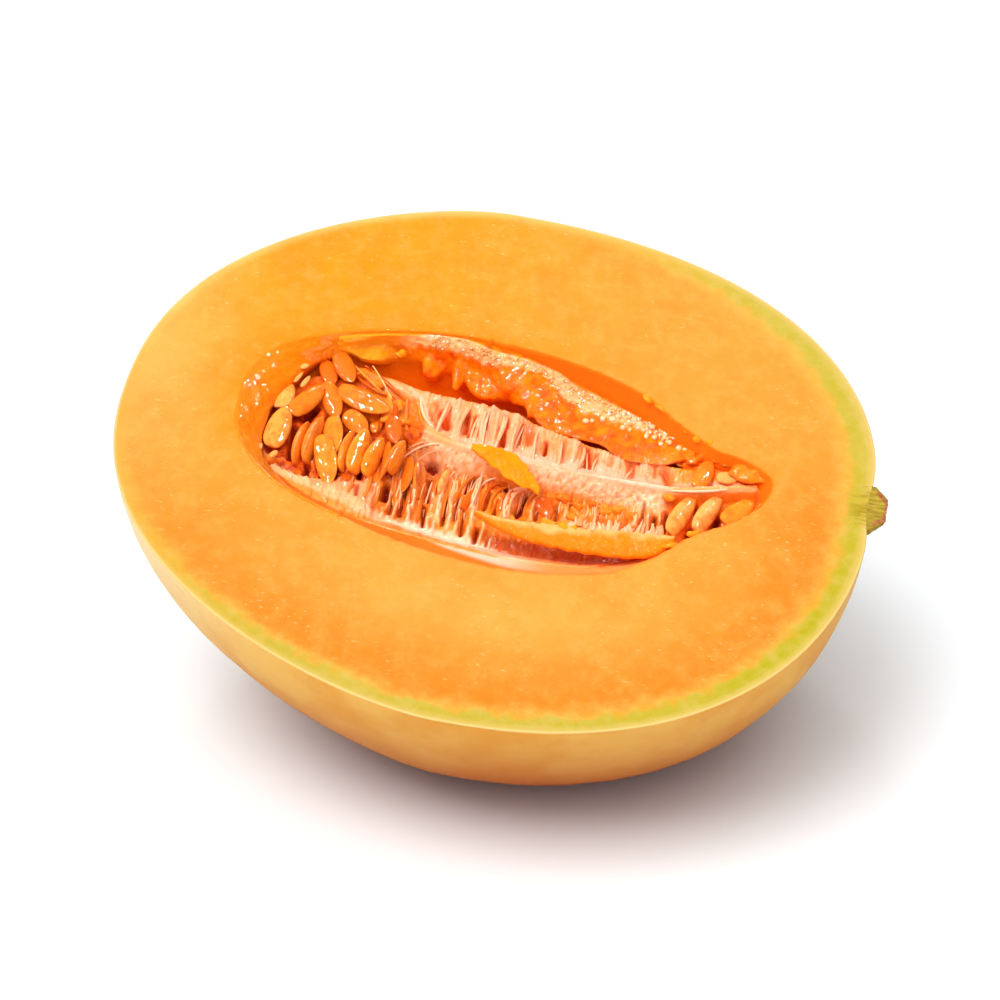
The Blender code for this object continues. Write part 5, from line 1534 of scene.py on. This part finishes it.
def build_loose_flesh(look):
    """The yellow shred, the pale slab with a row of teeth over its near edge, and torn bits: flat
    balls, turned in the plane of the face and made uneven by waves."""
    finish = pulp_finish("torn_flesh", 0.2, 0.25, 0.35, spread=(1.6, 0.7, 0.25),
                         Specular_IOR_Level=0.1)
    rings, _ = tongue(SHRED_PATH, SHRED_HALF, SHRED_DEPTH, 1.0, 0.25, 90, 28, 0.14, 71)
    patches = 0.4 + 0.5 * waves(rings, 4, 72)
    tint = layered(np.array(look.shred) + 0 * rings, ((254, 156, 8), patches))
    piece("yellow_shred", skin(rings), finish, "loose_flesh", "pulp_shred", tint=ringed(tint))

    rings, across = tongue(SLAB_PATH, SLAB_HALF, SLAB_DEPTH, 1.9, 0.3, 160, 40, 0.05, 74)
    wavy = across + 0.25 * waves(rings, 4, 76)
    pale = ease(wavy - 0.35 * ease(rings[..., 0], 14, 30), -0.3, 0.55)
    tint = layered(paint(255, 138, 18) + 0 * rings, ((253, 180, 108), pale))
    piece("pale_slab", skin(rings), finish, "loose_flesh", "flesh_slab", tint=ringed(tint))

    rng = np.random.default_rng(77)
    at = np.linspace(*TEETH_SPAN, TEETH) + rng.uniform(-0.4, 0.4, TEETH)
    foot = smooth(at, *TEETH_FOOT) + rng.uniform(-0.3, 0.5, TEETH)
    tall = rng.uniform(1.2, 3.9, TEETH) * smooth(at, *TEETH_TALL)
    share = np.linspace(0, 1, 10)
    depth = 2.4 + 0.6 * share ** 2 - 0.9 * share + 0.5 * rng.uniform(-1, 1, TEETH)[:, None]
    lean = rng.uniform(-0.9, 0.9, TEETH)[:, None] * share ** 2
    paths = at_depth(at[:, None] + lean, foot[:, None] + tall[:, None] * share, depth)
    thick = rng.uniform(0.3, 0.8, TEETH)[:, None] * (1.05 - 0.75 * share ** 2)
    made = tubes(paths, thick, 9)
    tint = blend(paint(252, 200, 160), paint(244, 150, 84), rng.uniform(0, 0.8, TEETH)[:, None])
    piece("white_teeth", made, finish, "loose_flesh", tint=per_copy(made, tint))

    bits = np.array(TORN_BITS)
    ball = sphere(10, 20)
    flat = ball * bits[:, None, None, 3:6]
    c, s = (trig(np.radians(bits[:, 6]))[:, None, None] for trig in (np.cos, np.sin))
    turned = np.stack([flat[..., 0] * c - flat[..., 1] * s, flat[..., 0] * s + flat[..., 1] * c,
                       flat[..., 2]], -1)
    blobs = bits[:, None, None, :3] * (1, 1, -1) + turned
    made = skin(blobs + 0.35 * waves(blobs, 1.8, 78)[..., None] * ball)
    piece("torn_bits", made, finish, "loose_flesh", tint=one_colour(made, 253, 156, 30))


# ---------------------------------------------------------------- the stem

def build_stem(look):
    """Half of a ribbed stub below the cut face: each loop is half a circle, ribbed outside the
    fruit, and the flat of the cut, which carries fine grooves; the tip is rough and dry."""
    x = np.linspace(STEM_PROFILE[0][0], STEM_END, 64)[:, None]
    turn = np.linspace(math.pi, 2 * math.pi, 72)
    radius = smooth(x, *STEM_PROFILE)
    r = radius + STEM_RIB * np.cos(turn * 10) * ease(x, STEM_LEAVES, STEM_LEAVES + 0.8)
    arc = np.stack([x + 0 * r, STEM_MIDDLE + r * np.cos(turn), r * np.sin(turn)], -1)
    share = np.linspace(1, -1, 42)[1:-1]
    across = STEM_MIDDLE + (radius - 0.2) * share
    grooves = 0.1 * stripes(across, 0.9, 81) * (1 - share ** 6)
    flat = np.stack([x + 0 * across, across, grooves - 0.06], -1)
    rings = np.concatenate([arc, flat], 1)
    tip = ease(x, STEM_END - 1.1, STEM_END)
    rings[..., 0] += tip * (0.22 * waves(rings, 1.1, 82) - 0.22)
    rings[..., 1:] *= (1 - 0.06 * tip * (1 + waves(rings, 1.6, 83)))[..., None]
    f = Finish("stem_bark", Roughness=0.75)
    along = f.stretched(f.mark("fruit", "Vector"), (0.16, 1.0, 1.0))
    fresh = f.mix(f.clouds(0.8, 3, 0.4, 0.6, place=along), look.stem_green, paint(184, 158, 44))
    fresh = f.mix(f.clouds(0.5, 2, 0.56, 0.66, 0.0, 0.7, place=along), fresh, paint(92, 82, 10))
    bark = f.mix(f.clouds(0.7, 5, 0.35, 0.65), look.stem_brown, paint(150, 78, 30))
    colour = f.mix(f.span(f.mark("dry"), 0.0, 1.0), fresh, bark)
    finish = f.done(colour, None, f.noise(0.5, 5), 0.25)
    sides = np.concatenate([0.5 * np.abs(np.sin(turn)), ease(np.abs(share), 0.4, 0.85) * 0.9])
    dry = ease(x, 86.4, 87.6) + sides * ease(x, 84.4, 85.6) + 0.25 * waves(rings, 1.5, 84)
    piece("stem_stub", skin(rings), finish, "stem", "stem", dry=ringed(np.clip(dry, 0, 1), 0, 1))


# ---------------------------------------------------------------- the stage

def build_stage(look):
    """A wide pale floor, an even sky, the lights of the table and the camera at the photograph's
    place."""
    scene = bpy.context.scene
    mesh = bpy.data.meshes.new("floor")
    mesh.from_pydata(FLOOR_CORNERS, [], [(0, 1, 2, 3)])
    floor = bpy.data.objects.new("floor", mesh)
    scene.collection.objects.link(floor)
    f = Finish("pale_floor", Roughness=0.9, Specular_IOR_Level=0.1)
    mesh.materials.append(f.done(f.mix(f.noise(300, 2), (0.85, 0.88, 0.905), (0.86, 0.89, 0.915))))
    world = bpy.data.worlds.new("studio")
    scene.world = world
    world.use_nodes = True
    sky = world.node_tree.nodes["Background"].inputs
    sky["Color"].default_value = (1, 1, 1, 1)
    sky["Strength"].default_value = look.sky
    world.cycles_visibility.glossy = False
    for name, aim, spread, setting, share, matt, shiny in LIGHTS:
        light = bpy.data.lights.new(name, "SUN")
        light.angle = math.radians(spread)
        light.energy = share * getattr(look, setting)
        lamp = bpy.data.objects.new(name, light)
        lamp.rotation_euler = Vector(aim or look.key_from).to_track_quat("Z", "Y").to_euler()
        lamp.visible_diffuse, lamp.visible_glossy = matt, shiny
        scene.collection.objects.link(lamp)
    camera = bpy.data.cameras.new("camera")
    camera.lens = LENS
    camera.sensor_width = SENSOR
    camera.clip_start = CLIP_START
    eye = bpy.data.objects.new("camera", camera)
    eye.location = np.array(EYE) @ AXES.T * MM + PLACE
    eye.rotation_euler = (math.pi / 2 - LOOK_DOWN, 0, LOOK_ROUND)
    scene.collection.objects.link(eye)
    scene.camera = eye
    scene.view_settings.view_transform = "Standard"
    scene.view_settings.look = "Medium High Contrast"


# ---------------------------------------------------------------- the add-on

def colour_setting(name, description, *screen):
    """A colour that a user may change, by its screen numbers."""
    return FloatVectorProperty(name=name, description=description, subtype="COLOR", size=3, min=0,
                               max=1, default=tuple(float(c) for c in paint(*screen)))


def strength_setting(name, description, default):
    """A light's strength that a user may change."""
    return FloatProperty(name=name, description=description, default=default, min=0)


def count_setting(name, description, default, least=1):
    """A number of pieces that a user may change."""
    return IntProperty(name=name, description=description, default=default, min=least)


class MelonLook(bpy.types.PropertyGroup):
    """Colours, counts and lights of the melon half."""
    flesh: colour_setting("Flesh", "Main colour of the flesh", 255, 149, 54)
    golden_flesh: colour_setting("Golden flesh", "Yellower flesh, far blossom side", 255, 146, 8)
    pale_flesh: colour_setting("Pale flesh", "Paler flesh near the ends", 255, 176, 96)
    deep_flesh: colour_setting("Deep flesh", "Deeper patches in the flesh", 255, 130, 32)
    rim_flesh: colour_setting("Rim flesh", "Flesh by the cavity's blossom end", 255, 138, 8)
    # Painted shade: the wall's colour deep down, darker than near the rim
    shaded_deep_wall: colour_setting("Deep wall", "Colour deep down the cavity's wall", 232, 120, 8)
    green_layer: colour_setting("Green layer", "Green layer under the rind", 194, 168, 72)
    lively_green: colour_setting("Lively green", "Greenest part of that layer", 176, 164, 24)
    pale_green: colour_setting("Pale green", "Paler veins in the green layer", 210, 180, 104)
    cream_line: colour_setting("Cream line", "Thin line just inside the skin", 226, 196, 136)
    skin: colour_setting("Skin", "Outer skin", 232, 182, 94)
    warm_skin: colour_setting("Warm skin", "Warmer patches of skin", 224, 160, 68)
    # Painted shade: the skin's colour low down, darker as if in shade
    shaded_low_skin: colour_setting("Low skin", "Skin low down", 160, 66, 2)
    skin_freckle: colour_setting("Skin freckles", "Fine freckles of the skin", 206, 142, 66)
    seed: colour_setting("Seed", "Light seeds", 252, 156, 44)
    pale_seed: colour_setting("Pale seed", "Palest seeds", 255, 196, 120)
    dark_seed: colour_setting("Dark seed", "Dark seeds", 226, 100, 6)
    gel: colour_setting("Gel", "Wet gel", 255, 124, 6)
    shred: colour_setting("Shred", "Yellow shred of flesh", 255, 142, 2)
    stem_green: colour_setting("Stem green", "Fresh cut of the stem", 158, 134, 18)
    stem_brown: colour_setting("Stem brown", "Dry bark of the stem", 176, 116, 66)
    fibre_count: count_setting("Fibres", "Fine fibres behind the rib", 14, 0)
    socket_fibres: count_setting("Socket fibres", "Fine fibres in front of the rib", 110)
    grain_count: count_setting("Grains", "Pale grains on the gel", 620)
    sky: strength_setting("Sky", "Strength of the even light", 0.2)
    top: strength_setting("Top light", "Strength of the wide light from above", 1.45)
    key: strength_setting("Key light", "Strength of the light from the upper left", 1.2)
    key_from: FloatVectorProperty(name="Key from", description="Direction the light comes from",
                                  subtype="XYZ", default=(-0.36, -0.5, 1.0))
    fill: strength_setting("Fill light", "Strength of the wide light from the viewer", 0.9)
    glint: strength_setting("Glints", "Strength of the lights that only wet skin shows", 0.7)
    sparkle: strength_setting("Sparkle", "Strength of the small sharp light", 0.12)


class MELON_OT_body(bpy.types.Operator):
    """Builds the rind and flesh"""
    bl_idname = "melon.body"
    bl_label = "Rind and Flesh"

    def execute(self, context):
        build_melon(context.scene.melon_look)
        return {"FINISHED"}


class MELON_OT_pulp(bpy.types.Operator):
    """Builds the seed pulp"""
    bl_idname = "melon.pulp"
    bl_label = "Seed Pulp"

    def execute(self, context):
        build_pulp(context.scene.melon_look)
        return {"FINISHED"}


class MELON_OT_seeds(bpy.types.Operator):
    """Builds the seeds"""
    bl_idname = "melon.seeds"
    bl_label = "Seeds"

    def execute(self, context):
        build_seeds(context.scene.melon_look)
        return {"FINISHED"}


class MELON_OT_strands(bpy.types.Operator):
    """Builds the strands and fibres of the pulp"""
    bl_idname = "melon.strands"
    bl_label = "Strands"

    def execute(self, context):
        build_strands(context.scene.melon_look)
        return {"FINISHED"}


class MELON_OT_gel(bpy.types.Operator):
    """Builds the gel band, its grains, drops and lumps"""
    bl_idname = "melon.gel"
    bl_label = "Gel"

    def execute(self, context):
        build_gel(context.scene.melon_look)
        return {"FINISHED"}


class MELON_OT_loose_flesh(bpy.types.Operator):
    """Builds the shred, the slab with its teeth and the torn bits"""
    bl_idname = "melon.loose_flesh"
    bl_label = "Loose Flesh"

    def execute(self, context):
        build_loose_flesh(context.scene.melon_look)
        return {"FINISHED"}


class MELON_OT_stem(bpy.types.Operator):
    """Builds the stub of the stem"""
    bl_idname = "melon.stem"
    bl_label = "Stem"

    def execute(self, context):
        build_stem(context.scene.melon_look)
        return {"FINISHED"}


class MELON_OT_stage(bpy.types.Operator):
    """Sets up the floor, lights and camera"""
    bl_idname = "melon.stage"
    bl_label = "Stage"

    def execute(self, context):
        build_stage(context.scene.melon_look)
        return {"FINISHED"}


OPERATORS = (MELON_OT_body, MELON_OT_pulp, MELON_OT_seeds, MELON_OT_strands, MELON_OT_gel,
             MELON_OT_loose_flesh, MELON_OT_stem, MELON_OT_stage)


class MELON_PT_panel(bpy.types.Panel):
    """Lists the melon half's pieces and settings"""
    bl_idname = "MELON_PT_panel"
    bl_label = "Melon Half"
    bl_space_type = "VIEW_3D"
    bl_region_type = "UI"
    bl_category = "Melon"

    def draw(self, context):
        for operator in OPERATORS:
            self.layout.operator(operator.bl_idname)
        for name in MelonLook.__annotations__:
            self.layout.prop(context.scene.melon_look, name)


CLASSES = (MelonLook, *OPERATORS, MELON_PT_panel)


def register():
    for cls in CLASSES:
        bpy.utils.register_class(cls)
    bpy.types.Scene.melon_look = PointerProperty(type=MelonLook)


def unregister():
    del bpy.types.Scene.melon_look
    for cls in reversed(CLASSES):
        bpy.utils.unregister_class(cls)


def main():
    register()
    for operator in OPERATORS:
        getattr(bpy.ops.melon, operator.bl_idname.split(".")[1])()


if __name__ == "__main__":
    main()
